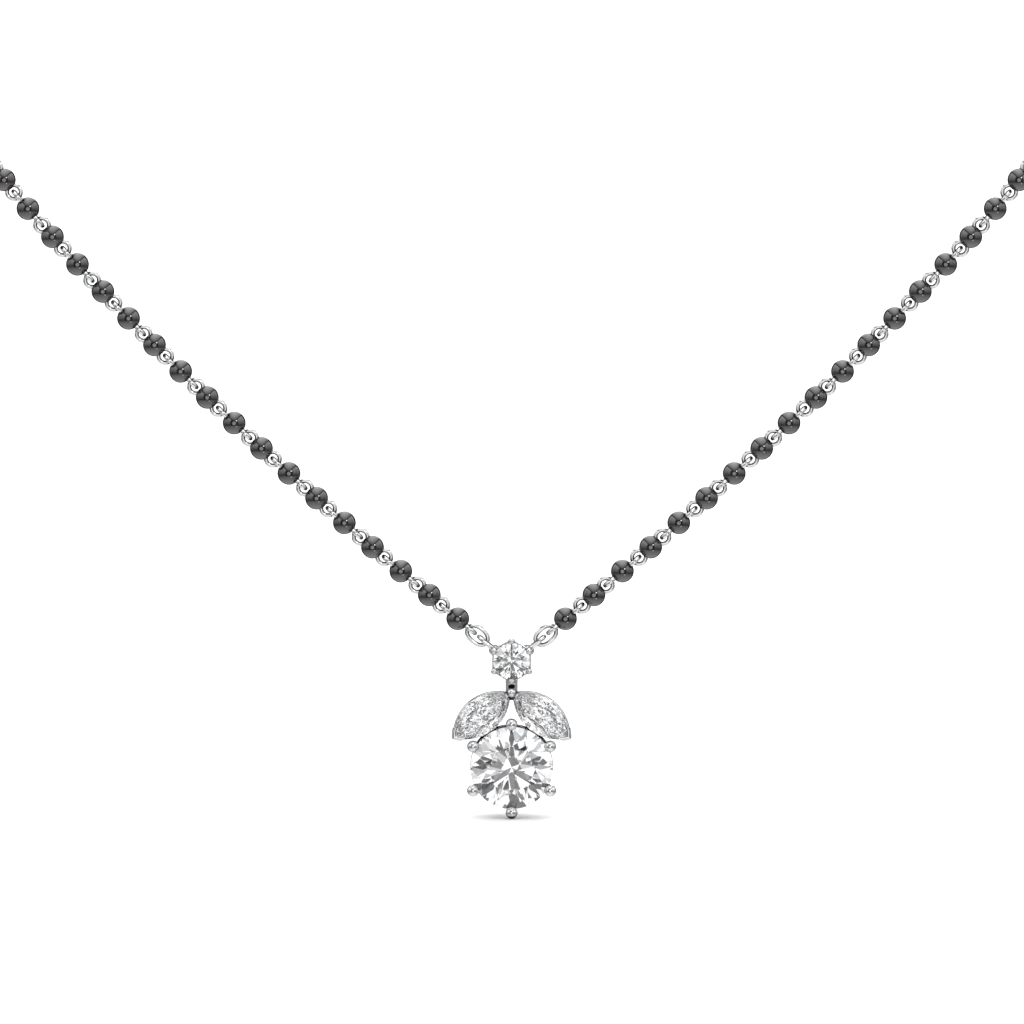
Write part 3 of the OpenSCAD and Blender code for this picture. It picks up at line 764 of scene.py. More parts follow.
@dataclass(frozen=True)
class BeadString:
    """Onyx beads, each on a wire with an eye at both ends, and the two end links."""

    route: StringRoute = StringRoute()
    bead_count: int = 56
    bead_d: float = 2.0
    bead_gap: float = 1.235
    wire_d: float = 0.38
    core_d: float = 0.34
    eye_d: float = 1.58
    wire_play: float = 0.15
    clearance: float = 0.03
    link_gap: float = 0.1
    oval_l: float = 2.4
    oval_w: float = 1.7
    hook_w: float = 1.5
    start: float = 4.2525
    ball_steps: tuple = (26, 44)
    bore_sides: int = 20
    slot_sides: int = 40
    core_sides: int = 14
    eye_steps: tuple = (36, 14)
    oval_steps: tuple = (72, 18)
    hook_steps: tuple = (20, 18)
    squareness: float = 2.25
    # a face with a corner nearer to the middle, as a share of the radius, is a cut one
    cut_below: float = 0.985

    @property
    def pitch(self) -> float:
        """Distance from one bead to the next."""
        return self.bead_d + self.bead_gap

    @property
    def eye_r(self) -> float:
        """Radius of an eye, to the middle of its wire."""
        return (self.eye_d - self.wire_d) / 2

    @property
    def eye_off(self) -> float:
        """Distance of an eye's middle from the bead's."""
        return (self.pitch - self.wire_d - self.wire_play) / 2

    @property
    def end(self) -> float:
        """Distance along the route where the last eye ends."""
        return self.start + (self.bead_count - 1) * self.pitch + self.eye_off + self.eye_d / 2

    def places(self) -> list:
        """Placement of each bead, every second one turned a quarter."""
        return [self.route.frame_at(self.start + i * self.pitch) @ turn_z(90 * (1 - i % 2))
                for i in range(self.bead_count)]

    def at_both_ends(self, shape: Shape) -> list:
        """A shape turned about Z, put where the two eyes of a wire stand."""
        return [shape.moved(facing((1, 0, 0), (0, 0, end * self.eye_off))) for end in (-1, 1)]

    def bead(self) -> Shape:
        """One bead: a ball drilled along Z and slotted at both ends for the eyes.

        Returns:
            The bead about the origin.
        """
        radius, rows = self.bead_d / 2, self.ball_steps[0]
        lat = np.linspace(-math.pi / 2, math.pi / 2, rows + 1)
        ball = turned_part(np.stack([np.cos(lat), np.sin(lat)], 1) * radius,
                           self.ball_steps[1])
        bore = rod((0, 0, -self.bead_d), (0, 0, self.bead_d),
                   self.core_d + 2 * self.clearance, self.bore_sides)
        half = self.wire_d / 2 + self.clearance
        slot = rod((0, 0, -half), (0, 0, half), self.eye_d + 2 * self.clearance,
                   self.slot_sides)
        cut = combined(ball, [bore, *self.at_both_ends(slot)], Cut.CUT)
        return self.polished(cut, radius)

    def polished(self, shape: Shape, radius: float) -> Shape:
        """Gives the ball's own surface the normals of a true ball, and keeps cut faces flat.

        Args:
            shape: the cut bead
            radius: radius of the ball
        Returns:
            The same shape with corner normals.
        """
        normals = []
        for f in shape.faces:
            corners = shape.points[list(f)]
            far = np.linalg.norm(corners, axis=1)
            if far.min() > radius * self.cut_below:
                normals.append(corners / far[:, None])
            else:
                flat = sum(np.cross(corners[k] - corners[0], corners[k + 1] - corners[0])
                           for k in range(1, len(f) - 1))
                normals.append(np.tile(unit(flat + 1e-12), (len(f), 1)))
        return Shape(shape.points, shape.faces, np.concatenate(normals))

    def wire(self) -> Shape:
        """One bead's wire: a straight core with a round eye soldered on at each end.

        Returns:
            The wire about the origin.
        """
        foot = self.eye_off - self.eye_r
        core = rod((0, 0, -foot), (0, 0, foot), self.core_d, self.core_sides)
        eye = wire_ring(self.eye_r, self.wire_d, *self.eye_steps)
        return combined(core, self.at_both_ends(eye), Cut.JOIN)

    def end_links(self) -> tuple:
        """The oval link that faces the front, and the edge-on link behind it.

        Returns:
            Both links, in their places on the right.
        """
        near = self.eye_off - self.eye_r + self.wire_d + self.link_gap
        hook_near = self.eye_off + self.eye_r + self.wire_d + self.link_gap
        first = self.route.at(self.start)
        at = self.route.placement(first, unit(np.array(self.route.start) - first))
        oval = oval_link(near, near + self.oval_l - self.wire_d, self.oval_w, self.wire_d,
                         *self.oval_steps, self.squareness)
        hook = oval_link(hook_near, self.start, self.hook_w, self.wire_d, *self.hook_steps)
        return oval.moved(at), hook.moved(at @ turn_z(90))

    def build(self) -> None:
        """Both strings with their end links."""
        places = self.places()
        beads, wires = self.bead().repeated(places), self.wire().repeated(places)
        oval, hook = self.end_links()
        parts = (("black_beads", beads, ONYX), ("bead_wires", wires, WHITE_GOLD),
                 ("oval_link", oval, WHITE_GOLD), ("hook_link", hook, WHITE_GOLD))
        for name, shape, finish in parts:
            for side, made in (("right", shape), ("left", shape.mirrored())):
                place(made, f"{name}_{side}_fine", finish, Body.NECKLACE, [f"{name}_{side}"])


@dataclass(frozen=True)
class BackChain:
    """Fine cable chain from the last eye of each string to the clasp."""

    string: BeadString = BeadString()
    link_w: float = 1.1
    link_l: float = 1.7
    wire_d: float = 0.3
    play: float = 0.05
    link_steps: tuple = (9, 10)

    def side(self, far_end: float, facing_out: bool) -> Shape:
        """One side's chain on the right, its first link through the last eye.

        Args:
            far_end: distance along the route where the last link ends
            facing_out: the last link lies flat against the neck
        Returns:
            The chain.
        """
        near_end = self.string.end - self.string.wire_d - self.play - self.wire_d
        reach = far_end - near_end
        overlap = 2 * self.wire_d + self.play
        count = round((reach - self.link_l) / (self.link_l - overlap)) + 1
        if (count % 2 == 0) != facing_out:
            count += 1
        length = (reach + (count - 1) * overlap) / count
        half = (length - self.wire_d) / 2
        link = oval_link(-half, half, self.link_w, self.wire_d, *self.link_steps)
        places = [self.string.route.frame_at(near_end + length / 2 + i * (length - overlap))
                  @ turn_z(90 * (1 - i % 2)) for i in range(count)]
        return link.repeated(places)

    def build(self, clasp: "RingClasp") -> None:
        """Both chains, hooked into the closing ring and into the clasp's eye.

        Args:
            clasp: the clasp between them
        """
        length = self.string.route.length()
        in_ring = self.wire_d + self.play
        right = self.side(length - clasp.ring_reach + clasp.ring_wire_d + in_ring, True)
        left = self.side(length - clasp.eye_reach + clasp.eye_wire_d + in_ring, False)
        for name, chain in (("back_chain_right", right), ("back_chain_left", left.mirrored())):
            place(chain, f"{name}_links", WHITE_GOLD, Body.NECKLACE, [name])


@dataclass(frozen=True)
class RingClasp:
    """Spring ring clasp at the nape and the ring that it closes on."""

    centre: tuple = (0.0, 0.5, 0.0)
    clasp_d: float = 5.6
    wire_d: float = 1.0
    eye_d: float = 1.6
    eye_wire_d: float = 0.38
    ring_d: float = 3.8
    ring_wire_d: float = 0.6
    link_gap: float = 0.1
    trigger_d: float = 0.7
    trigger_l: float = 0.8
    trigger_angle: float = 135.0
    # waist and both ends of the shoulder, measured from the peg's end, as shares of its radius
    trigger_waist: float = 0.75
    trigger_shoulder: tuple = (2.2, 1.7)
    trigger_steps: tuple = (6, 24)
    # ends of the gate in degrees, and thicknesses as shares of the tube's
    gate: tuple = (150.0, 250.0)
    gate_share: float = 0.8
    collar_share: float = 0.93
    collar_degrees: float = 2.0
    hoop_steps: tuple = (160, 24)
    eye_steps: tuple = (40, 16)
    ring_steps: tuple = (72, 20)

    @property
    def eye_reach(self) -> float:
        """Distance of the far edge of the clasp's eye from the clasp's middle."""
        return self.clasp_d / 2 + (self.eye_d - self.eye_wire_d) / 2 + self.eye_d / 2

    @property
    def ring_x(self) -> float:
        """Distance of the closing ring's middle from the clasp's."""
        inside = self.clasp_d / 2 - self.wire_d - self.link_gap - self.ring_wire_d / 2
        return inside + (self.ring_d - self.ring_wire_d) / 2

    @property
    def ring_reach(self) -> float:
        """Distance of the closing ring's far edge from the clasp's middle."""
        return self.ring_x + self.ring_d / 2

    def hoop(self) -> Shape:
        """The clasp's tube: a gate of thinner wire between two turned collars.

        Returns:
            The tube, round local Z.
        """
        steps, sides = self.hoop_steps
        middle = ((self.clasp_d - self.wire_d) / 2, 0)
        rings = []
        for angle in np.arange(steps) * 360 / steps:
            share = 1.0
            if self.gate[0] < angle < self.gate[1]:
                share = self.gate_share
            elif min(abs(angle - end) for end in self.gate) < self.collar_degrees:
                share = self.collar_share
            section = circle(share * self.wire_d / 2, sides) + middle
            rings.append([polar(out, angle, z) for out, z in section])
        return loft(np.array(rings)[:, ::-1], True)

    def trigger(self) -> Shape:
        """The small peg that draws the gate back, with a rounded end.

        Returns:
            The peg, standing out of the tube.
        """
        r, foot = self.trigger_d / 2, (self.clasp_d - self.wire_d) / 2
        end, waist = foot + self.wire_d / 2 + self.trigger_l, r * self.trigger_waist
        low, high = (end - share * r for share in self.trigger_shoulder)
        steps, sides = self.trigger_steps
        head = [(r * math.cos(t), end - r + r * math.sin(t))
                for t in np.linspace(0, math.pi / 2, steps + 1)[:-1]]
        peg = turned_part([(0, foot), (waist, foot), (waist, low), (r, high), *head,
                           (0, end)], sides)
        return peg.moved(facing(polar(1, self.trigger_angle, 0), (0, 0, 0)))

    def build(self) -> None:
        """The clasp with its eye, and the closing ring."""
        eye = wire_ring((self.eye_d - self.eye_wire_d) / 2, self.eye_wire_d,
                        *self.eye_steps)
        eye_x = self.clasp_d / 2 + (self.eye_d - self.eye_wire_d) / 2
        upright = matrix((1, 0, 0), (0, 0, 1), (0, -1, 0), self.centre)
        clasp = combined(self.hoop(), [self.trigger(), eye.moved(turn_z(0, (-eye_x, 0, 0)))],
                         Cut.JOIN)
        place(clasp.moved(upright), "ring_clasp", WHITE_GOLD, Body.NECKLACE, ["clasp"])
        ring = wire_ring((self.ring_d - self.ring_wire_d) / 2, self.ring_wire_d,
                         *self.ring_steps)
        at = turn_z(0, np.add(self.centre, (self.ring_x, 0, 0)))
        place(ring.moved(at), "closing_ring", WHITE_GOLD, Body.NECKLACE, ["clasp_ring"])


# ---------------------------------------------------------------- pendant

# angles of the six prongs round a stone, the first at the upper right
SIX_AROUND = range(30, 390, 60)


@dataclass(frozen=True)
class Lens:
    """Marquise outline: two equal arcs that meet in a tip at both ends of local X."""

    length: float = 6.2
    width: float = 3.12
    # its middle measured from the main stone's, and how far its long axis leans
    x: float = 2.6262
    y: float = 4.5580
    z: float = 0.2
    angle: float = 37.9

    @property
    def arc_r(self) -> float:
        """Radius of each arc."""
        return ((self.length / 2) ** 2 + (self.width / 2) ** 2) / self.width

    @property
    def arc_off(self) -> float:
        """Distance of each arc's middle from the long axis."""
        return self.arc_r - self.width / 2

    def tip(self, outset: float) -> float:
        """Distance of the tips from the middle when the outline is moved outward."""
        return math.sqrt((self.arc_r + outset) ** 2 - self.arc_off ** 2)

    def ring(self, outset: float, z: float, steps: int = 36, shift: float = 0.0) -> np.ndarray:
        """Points of the outline, moved outward and to a height.

        Args:
            outset: how far outside the outline; negative inside
            z: height above the girdle
            steps: points on each arc
            shift: share of a step that each point is moved by
        Returns:
            The points, counter-clockwise.
        """
        r = self.arc_r + outset
        half = math.acos(self.arc_off / r)
        a = half * (2 * (np.arange(steps) + shift) / steps - 1)
        upper = np.stack([-r * np.sin(a), r * np.cos(a) - self.arc_off], 1)
        return np.column_stack([np.concatenate([upper, -upper]), np.full(2 * steps, z)])

    def placement(self) -> np.ndarray:
        """Where the right marquise lies in the pendant."""
        return turn_z(-self.angle, (self.x, self.y, self.z))


@dataclass(frozen=True)
class Brilliant:
    """Sizes of a round brilliant, as far as its seat needs them."""

    d: float
    table_d: float
    crown_h: float
    girdle_h: float
    pavilion_h: float
    mains: int = 8
    star_share: float = 0.55
    lower_share: float = 0.23
    seat_sides: int = 96

    def seat(self, gap: float) -> Shape:
        """Round solid that the stone fits in.

        Args:
            gap: room left all round
        Returns:
            The solid.
        """
        flat = math.cos(math.pi / self.mains)
        table_flat = self.table_d / 2 * flat
        star_r = table_flat + self.star_share * (self.d / 2 - table_flat)
        star_z = ((self.d - 2 * star_r * flat) / (self.d - self.table_d) * self.crown_h
                  + self.girdle_h / 2)
        lower_r = self.lower_share * self.d / 2
        lower_z = -self.girdle_h / 2 - (1 - self.lower_share * flat) * self.pavilion_h
        top, edge = self.girdle_h / 2 + self.crown_h + gap, self.girdle_h / 2 + gap
        return turned_part([
            (0, -self.girdle_h / 2 - self.pavilion_h - gap), (lower_r + gap, lower_z - gap),
            (self.d / 2 + gap, -edge), (self.d / 2 + gap, edge),
            (star_r + gap, star_z + gap), (self.table_d / 2 + gap, top), (0, top)],
            self.seat_sides)


@dataclass(frozen=True)
class MarquiseStone:
    """Marquise stone whose many small facets break the light like crushed ice."""

    lens: Lens = Lens()
    steps: int = 13
    girdle_h: float = 0.1
    crown_h: float = 0.5
    pavilion_h: float = 1.35
    table_in: float = 0.62
    crown: tuple = ((1.0, 1.0), (0.5, 0.6), (0.0, 0.0))
    pavilion: tuple = ((0.9, 0.93), (0.74, 0.81), (0.55, 0.62), (0.36, 0.42), (0.18, 0.22),
                       (0.0, 0.0))
    jitter: float = 0.022
    seed: int = 11

    def levels(self) -> list:
        """The rings of facet corners, from the back forward.

        Returns:
            Inset, height and shift of each ring; every second ring is shifted half a step.
        """
        half_w, edge = self.lens.width / 2, self.girdle_h / 2
        low = [(share * half_w, -edge - depth * self.pavilion_h, 0.5 * (i % 2))
               for i, (share, depth) in enumerate(self.pavilion[::-1])]
        high = [(share * self.table_in, edge + rise * self.crown_h, 0.5 * (i % 2))
                for i, (share, rise) in enumerate(self.crown[::-1])]
        return low[::-1] + high

    def seat(self, gap: float) -> Shape:
        """Solid that the stone fits in.

        Args:
            gap: room left all round
        Returns:
            The solid.
        """
        rings = [self.lens.ring(gap + self.lens.arc_off - self.lens.arc_r,
                                -self.girdle_h / 2 - self.pavilion_h - gap)]
        for inset, z, _ in self.levels():
            rings.append(self.lens.ring(gap - inset, z + math.copysign(gap, z)))
        return loft(np.array(rings), False, True)

    def build_shape(self) -> Shape:
        """The cut stone, its corners a little uneven as a cutter leaves them.

        Returns:
            The stone, in its own place.
        """
        draw = np.random.default_rng(self.seed)
        around = 2 * self.steps
        levels = self.levels()
        rings = []
        for i, (inset, z, shift) in enumerate(levels):
            ring = self.lens.ring(-inset, z, self.steps, shift)
            if 0 < inset < self.table_in or (inset > 0 and z < 0):
                ring[:, 2] += draw.uniform(-self.jitter, self.jitter, around)
            rings.append(ring)
        faces = []
        for i in range(len(levels) - 1):
            for j in range(around):
                a, b = i * around + j, i * around + (j + 1) % around
                c, d = a + around, b + around
                if levels[i][2] < levels[i + 1][2]:
                    faces += [(a, b, c), (c, b, d)]
                elif levels[i][2] > levels[i + 1][2]:
                    faces += [(a, d, c), (a, b, d)]
                else:
                    faces.append((a, b, d, c))
        top = (len(levels) - 1) * around
        faces.append(tuple(range(top, top + around)))
        culet = len(levels) * around
        faces += [(culet, (j + 1) % around, j) for j in range(around)]
        points = np.concatenate([*rings, [[0, 0, -self.girdle_h / 2 - self.pavilion_h]]])
        return Shape(points, faces)


@dataclass(frozen=True)
class Prong:
    """Prong of a setting, and how a row of them stands round a stone."""

    d: float
    ball_d: float
    front: tuple = (0.0, 0.0)
    back: tuple = (0.0, 0.0)
    neck: float = 0.92
    neck_ends: tuple = (1.7, 1.1)
    ball_rows: int = 16
    sides: int = 36

    def standing(self, front: np.ndarray, back: np.ndarray) -> Shape:
        """One prong, with a slight neck under its rounded end.

        Args:
            front: middle of the rounded end
            back: foot of the prong
        Returns:
            The prong.
        """
        length = float(np.linalg.norm(front - back))
        leg, ball = self.d / 2, self.ball_d / 2
        neck = self.neck * leg
        low, high = (length - share * ball for share in self.neck_ends)
        lat = np.linspace(-math.acos(neck / ball), math.pi / 2, self.ball_rows + 1)[:-1]
        profile = [(0, 0), (leg, 0), (leg, low), (neck, high)]
        profile += [(ball * math.cos(t), length + ball * math.sin(t)) for t in lat]
        part = turned_part([*profile, (0, length + ball)], self.sides)
        return part.moved(facing(front - back, back))

    def row(self, y: float) -> list:
        """Six prongs round a stone, the first at the upper right.

        Args:
            y: height of the stone's middle in the pendant
        Returns:
            The prongs.
        """
        up = np.array([0, y, 0])
        return [self.standing(polar(self.front[0], a, self.front[1]) + up,
                              polar(self.back[0], a, self.back[1]) + up)
                for a in SIX_AROUND]


@dataclass(frozen=True)
class Setting:
    """The soldered setting, drawn lying with its face to +Z and its top to +Y."""

    main: Brilliant = Brilliant(7.2, 4.1, 1.1, 0.22, 3.1)
    top: Brilliant = Brilliant(3.2, 1.8, 0.5, 0.1, 1.38)
    marquise: MarquiseStone = MarquiseStone()
    # where the main stone's middle hangs, room round each stone, and heights above it of
    # the top stone and of the prong that the inner tips share
    hang_at: tuple = (0.0, -111.2, -114.2221)
    seat_gap: float = 0.05
    top_y: float = 9.3523
    shared_y: float = 6.6023
    # main stone: prongs, gallery ring, back ring, and section and ends of the upper arc
    main_prong: Prong = Prong(0.8, 1.04, (3.87, 0.35), (2.2, -3.55))
    main_rings: tuple = (Band(3.15, 3.62, -1.6, -0.7, 0.1), Band(1.75, 2.65, -4.0, -3.1, 0.2))
    arc: tuple = ((3.5, -0.85), (3.76, -0.85), (3.76, -0.66), (3.5, -0.565))
    arc_edge: float = 0.02
    arc_span: tuple = (30, 150, 61)
    # top stone: prongs, six-sided rail, back ring, and the eyelets on their stubs
    top_prong: Prong = Prong(0.36, 0.56, (1.76, 0.15), (0.65, -1.738))
    top_rail: Band = Band(1.65, 1.95, -0.36, -0.12, 0.06)
    top_ring: Band = Band(0.488, 0.812, -1.9, -1.576, 0.08)
    rail_corner: float = 0.1
    eyelet_at: tuple = (1.4376, 10.1821, -1.2)
    eyelet_r: float = 0.44
    eyelet_wire_d: float = 0.22
    eyelet_steps: tuple = (40, 16)
    stub: tuple = (0.95, 1.2)
    stub_d: float = 0.24
    # marquise stones: rim, back ring, struts, V-prong, and the bridge to the main basket
    rim_drop: float = 0.45
    rim_h: float = 0.65
    rim_w: float = 0.4
    rim_out: float = 0.06
    back_in: float = 0.7
    strut_d: float = 0.34
    basket_h: float = 2.0
    edge: float = 0.08
    tip_in: float = 0.34
    tip_out: float = 0.14
    tip_high: float = 0.42
    tip_edge: float = 0.22
    tip_at: float = 2.56
    tip_r: float = 0.64
    tip_sides: int = 48
    bridge: tuple = (3.17, 4.085)
    bridge_angle: float = 54.0
    bridge_drop: float = 0.15
    bridge_d: float = 0.6
    # prong shared by the inner tips, its drawn-down end, and the solder under it
    shared_prong: Prong = Prong(0.58, 0.72)
    shared_ends: tuple = (0.46, -1.05)
    shared_up: float = 0.05
    tail_l: float = 0.43
    tail_z: float = 0.4
    tail_from: float = 0.35
    tail_round: float = 0.8
    tail_steps: tuple = (8, 36)
    fillet: tuple = (5.86, 6.4)
    fillet_z: float = -0.9
    fillet_d: float = 0.5
    # bar between the baskets, with its pocket
    bar_w: float = 1.06
    bar_cheek: float = 0.26
    bar_low: float = -1.82
    bar_high: float = -0.1
    bar_floor: float = -0.95
    bar_slope: float = 0.14
    bar_end: float = 0.65
    bar_edge: float = 0.05
    pocket: tuple = (6.96, 7.29)
    pocket_high: float = 1.0

    def hung(self) -> np.ndarray:
        """Placement that stands the lying pendant up at the end of the strings."""
        return matrix((1, 0, 0), (0, 0, 1), (0, -1, 0), self.hang_at)

    def main_basket(self) -> list:
        """Prongs, gallery ring, back ring and upper arc of the main stone.

        Returns:
            The shapes.
        """
        flat = rounded_section(self.arc, self.arc_edge)[::-1]
        arc = loft([[polar(r, a, z) for r, z in flat] for a in np.linspace(*self.arc_span)],
                   False, True)
        return [arc, *(ring.along(round_outline) for ring in self.main_rings),
                *self.main_prong.row(0.0)]

    def small_basket(self) -> list:
        """Prongs, six-sided rail and back ring of the top stone.

        Returns:
            The shapes.
        """
        def six_sided(radius: float, z: float) -> np.ndarray:
            """Hexagon with a corner at each prong."""
            flat = rounded_section([polar(radius, a, 0)[:2] for a in SIX_AROUND],
                                   self.rail_corner)
            return np.column_stack([flat, np.full(len(flat), z)])

        up = turn_z(0, (0, self.top_y, 0))
        return [self.top_rail.along(six_sided).moved(up),
                self.top_ring.along(round_outline).moved(up), *self.top_prong.row(self.top_y)]

    def marquise_basket(self) -> list:
        """Rims, struts and rounded V-prong of the right marquise.

        Returns:
            The shapes, in the stone's own place.
        """
        lens = self.marquise.lens
        middle = -self.rim_drop - self.rim_h / 2
        back = -self.basket_h + self.strut_d / 2
        side, side_back = lens.width / 2 - self.rim_w / 2, lens.width / 2 - self.back_in
        reach = lens.tip(-self.rim_w / 2)
        reach_back = lens.tip(-self.back_in - self.strut_d / 2)
        rim = Band(-self.rim_w, self.rim_out, -self.rim_drop - self.rim_h, -self.rim_drop,
                   self.edge)
        back_ring = Band(-self.back_in - self.strut_d, -self.back_in, -self.basket_h,
                         -self.basket_h + self.strut_d, self.edge)
        parts = [rim.along(lens.ring), back_ring.along(lens.ring)]
        for end in (-1, 1):
            parts.append(rod((0, end * side, middle),
                             (0, end * (side_back - self.strut_d / 2), back), self.strut_d))
            parts.append(rod((end * reach, 0, middle), (end * reach_back, 0, back),
                             self.strut_d))
        tip = Band(-self.tip_in, self.tip_out, middle, self.tip_high, self.tip_edge)
        near = rod((self.tip_at, 0, -1), (self.tip_at, 0, 1), 2 * self.tip_r,
                   self.tip_sides)
        return [*parts, combined(tip.along(lens.ring), [near], Cut.KEEP)]

    def inner_tips(self) -> list:
        """The prong over both inner tips, its end drawn down to a point, and its solder.

        Returns:
            The shapes.
        """
        at = np.array([0, self.shared_y + self.shared_up, 0])
        post = self.shared_prong.standing(*(at + (0, 0, z) for z in self.shared_ends))
        r = self.shared_prong.ball_d / 2
        steps, sides = self.tail_steps
        tail = [(r * math.cos(t) ** self.tail_round, self.tail_l * math.sin(t))
                for t in np.linspace(self.tail_from, math.pi / 2, steps + 1)[:-1]]
        point = turned_part([(0, 0), (r, 0), *tail, (0, self.tail_l)], sides)
        fillet = rod(*((0, y, self.fillet_z) for y in self.fillet), self.fillet_d)
        return [post, point.moved(facing((0, -1, 0), at + (0, 0, self.tail_z))), fillet]

    def plank(self, corners: Sequence[Sequence[float]], ends: tuple) -> Shape:
        """Straight bar along Y with soft edges.

        Args:
            corners: corners of its section in X and Z, counter-clockwise
            ends: its two ends
        Returns:
            The bar.
        """
        flat = rounded_section(corners, self.bar_edge)[::-1]
        return loft([np.column_stack([flat[:, 0], np.full(len(flat), y), flat[:, 1]])
                     for y in ends], False, True)

    def bar(self) -> Shape:
        """The bar between the baskets, with a pocket between its two side plates.

        Returns:
            The bar.
        """
        half, lip = self.bar_w / 2, self.bar_w / 2 - self.bar_cheek
        slope = self.bar_high - self.bar_slope
        body = self.plank([(-half, self.bar_low), (half, self.bar_low), (half, slope),
                           (lip, self.bar_high), (-lip, self.bar_high), (-half, slope)],
                          (self.shared_y + self.shared_up, self.top_y - self.bar_end))
        pocket = self.plank([(-lip, self.bar_floor), (lip, self.bar_floor),
                             (lip, self.pocket_high), (-lip, self.pocket_high)], self.pocket)
        return combined(body, [pocket], Cut.CUT)

    def build_shape(self) -> Shape:
        """The whole setting, with the four seats cut.

        Returns:
            The setting, lying.
        """
        lens = self.marquise.lens
        middle = lens.z - self.rim_drop - self.rim_h / 2
        right = [s.moved(lens.placement()) for s in self.marquise_basket()]
        right.append(rod(polar(self.bridge[0], self.bridge_angle, middle - self.bridge_drop),
                         polar(self.bridge[1], self.bridge_angle, middle), self.bridge_d))
        right.append(wire_ring(self.eyelet_r, self.eyelet_wire_d, *self.eyelet_steps).moved(
            turn_z(0, self.eyelet_at)))
        joint = np.array([0, self.top_y, self.eyelet_at[2]])
        right.append(rod(*(polar(r, SIX_AROUND[0], 0) + joint for r in self.stub),
                         self.stub_d))
        body = combined(self.bar(), [*self.main_basket(), *self.small_basket(),
                                     *self.inner_tips(), *right,
                                     *[s.mirrored() for s in right]], Cut.JOIN)
        seat = self.marquise.seat(self.seat_gap).moved(lens.placement())
        top_seat = self.top.seat(self.seat_gap).moved(turn_z(0, (0, self.top_y, 0)))
        return combined(body, [self.main.seat(self.seat_gap), top_seat, seat,
                               seat.mirrored()], Cut.CUT)

    def build(self) -> None:
        """The setting, the two marquise stones, and the polish of the round stones."""
        hung = self.hung()
        place(self.build_shape().moved(hung), "pendant_setting", WHITE_GOLD, Body.PENDANT,
              ["pendant_frame"])
        stone = self.marquise.build_shape().moved(self.marquise.lens.placement()).moved(hung)
        for side, shape in (("right", stone), ("left", stone.mirrored())):
            place(shape, f"marquise_{side}_cut", DIAMOND, Body.PENDANT, [f"marquise_{side}"],
                  0)
        for name in ("main_stone", "top_stone"):
            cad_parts[name].material_slots[0].material = DIAMOND.material()
            LOG.info("%s: as in the CAD, polished", name)


# ---------------------------------------------------------------- studio


@dataclass(frozen=True)
class Amount:
    """Number that changes over the sky, with the sums that the sky is painted by."""

    tree: bpy.types.NodeTree
    socket: bpy.types.NodeSocket

    def worked(self, operation: str, other: object = 0.0) -> "Amount":
        """Result of a sum with a plain number or another amount.

        Args:
            operation: Blender's name of the sum
            other: its second value
        Returns:
            The result.
        """
        value = other.socket if isinstance(other, Amount) else other
        made = node(self.tree, "ShaderNodeMath", {0: self.socket, 1: value},
                    operation=operation)
        return Amount(self.tree, made.outputs[0])

    def __add__(self, other: object) -> "Amount":
        """Both together."""
        return self.worked("ADD", other)

    def __sub__(self, other: object) -> "Amount":
        """What is left without the other."""
        return self.worked("SUBTRACT", other)

    def __mul__(self, other: object) -> "Amount":
        """One times the other."""
        return self.worked("MULTIPLY", other)

    def __rsub__(self, other: float) -> "Amount":
        """What the amount leaves of a plain number."""
        return self * -1.0 + other

    def soft(self, start: float, end: float) -> "Amount":
        """Soft step from 0 at one value to 1 at another.

        Args:
            start: where it is 0
            end: where it is 1
        Returns:
            The step.
        """
        made = node(self.tree, "ShaderNodeMapRange", {
            "Value": self.socket, "From Min": start, "From Max": end},
            interpolation_type="SMOOTHSTEP")
        return Amount(self.tree, made.outputs[0])


def toward(tree: bpy.types.NodeTree, where: bpy.types.NodeSocket,
           direction: Sequence[float]) -> Amount:
    """Cosine of the angle between the direction looked in and another.

    Args:
        tree: the sky's node tree
        where: direction looked in
        direction: the other direction
    Returns:
        The cosine.
    """
    made = node(tree, "ShaderNodeVectorMath", {0: where, 1: unit(direction).tolist()},
                operation="DOT_PRODUCT")
    return Amount(tree, made.outputs["Value"])


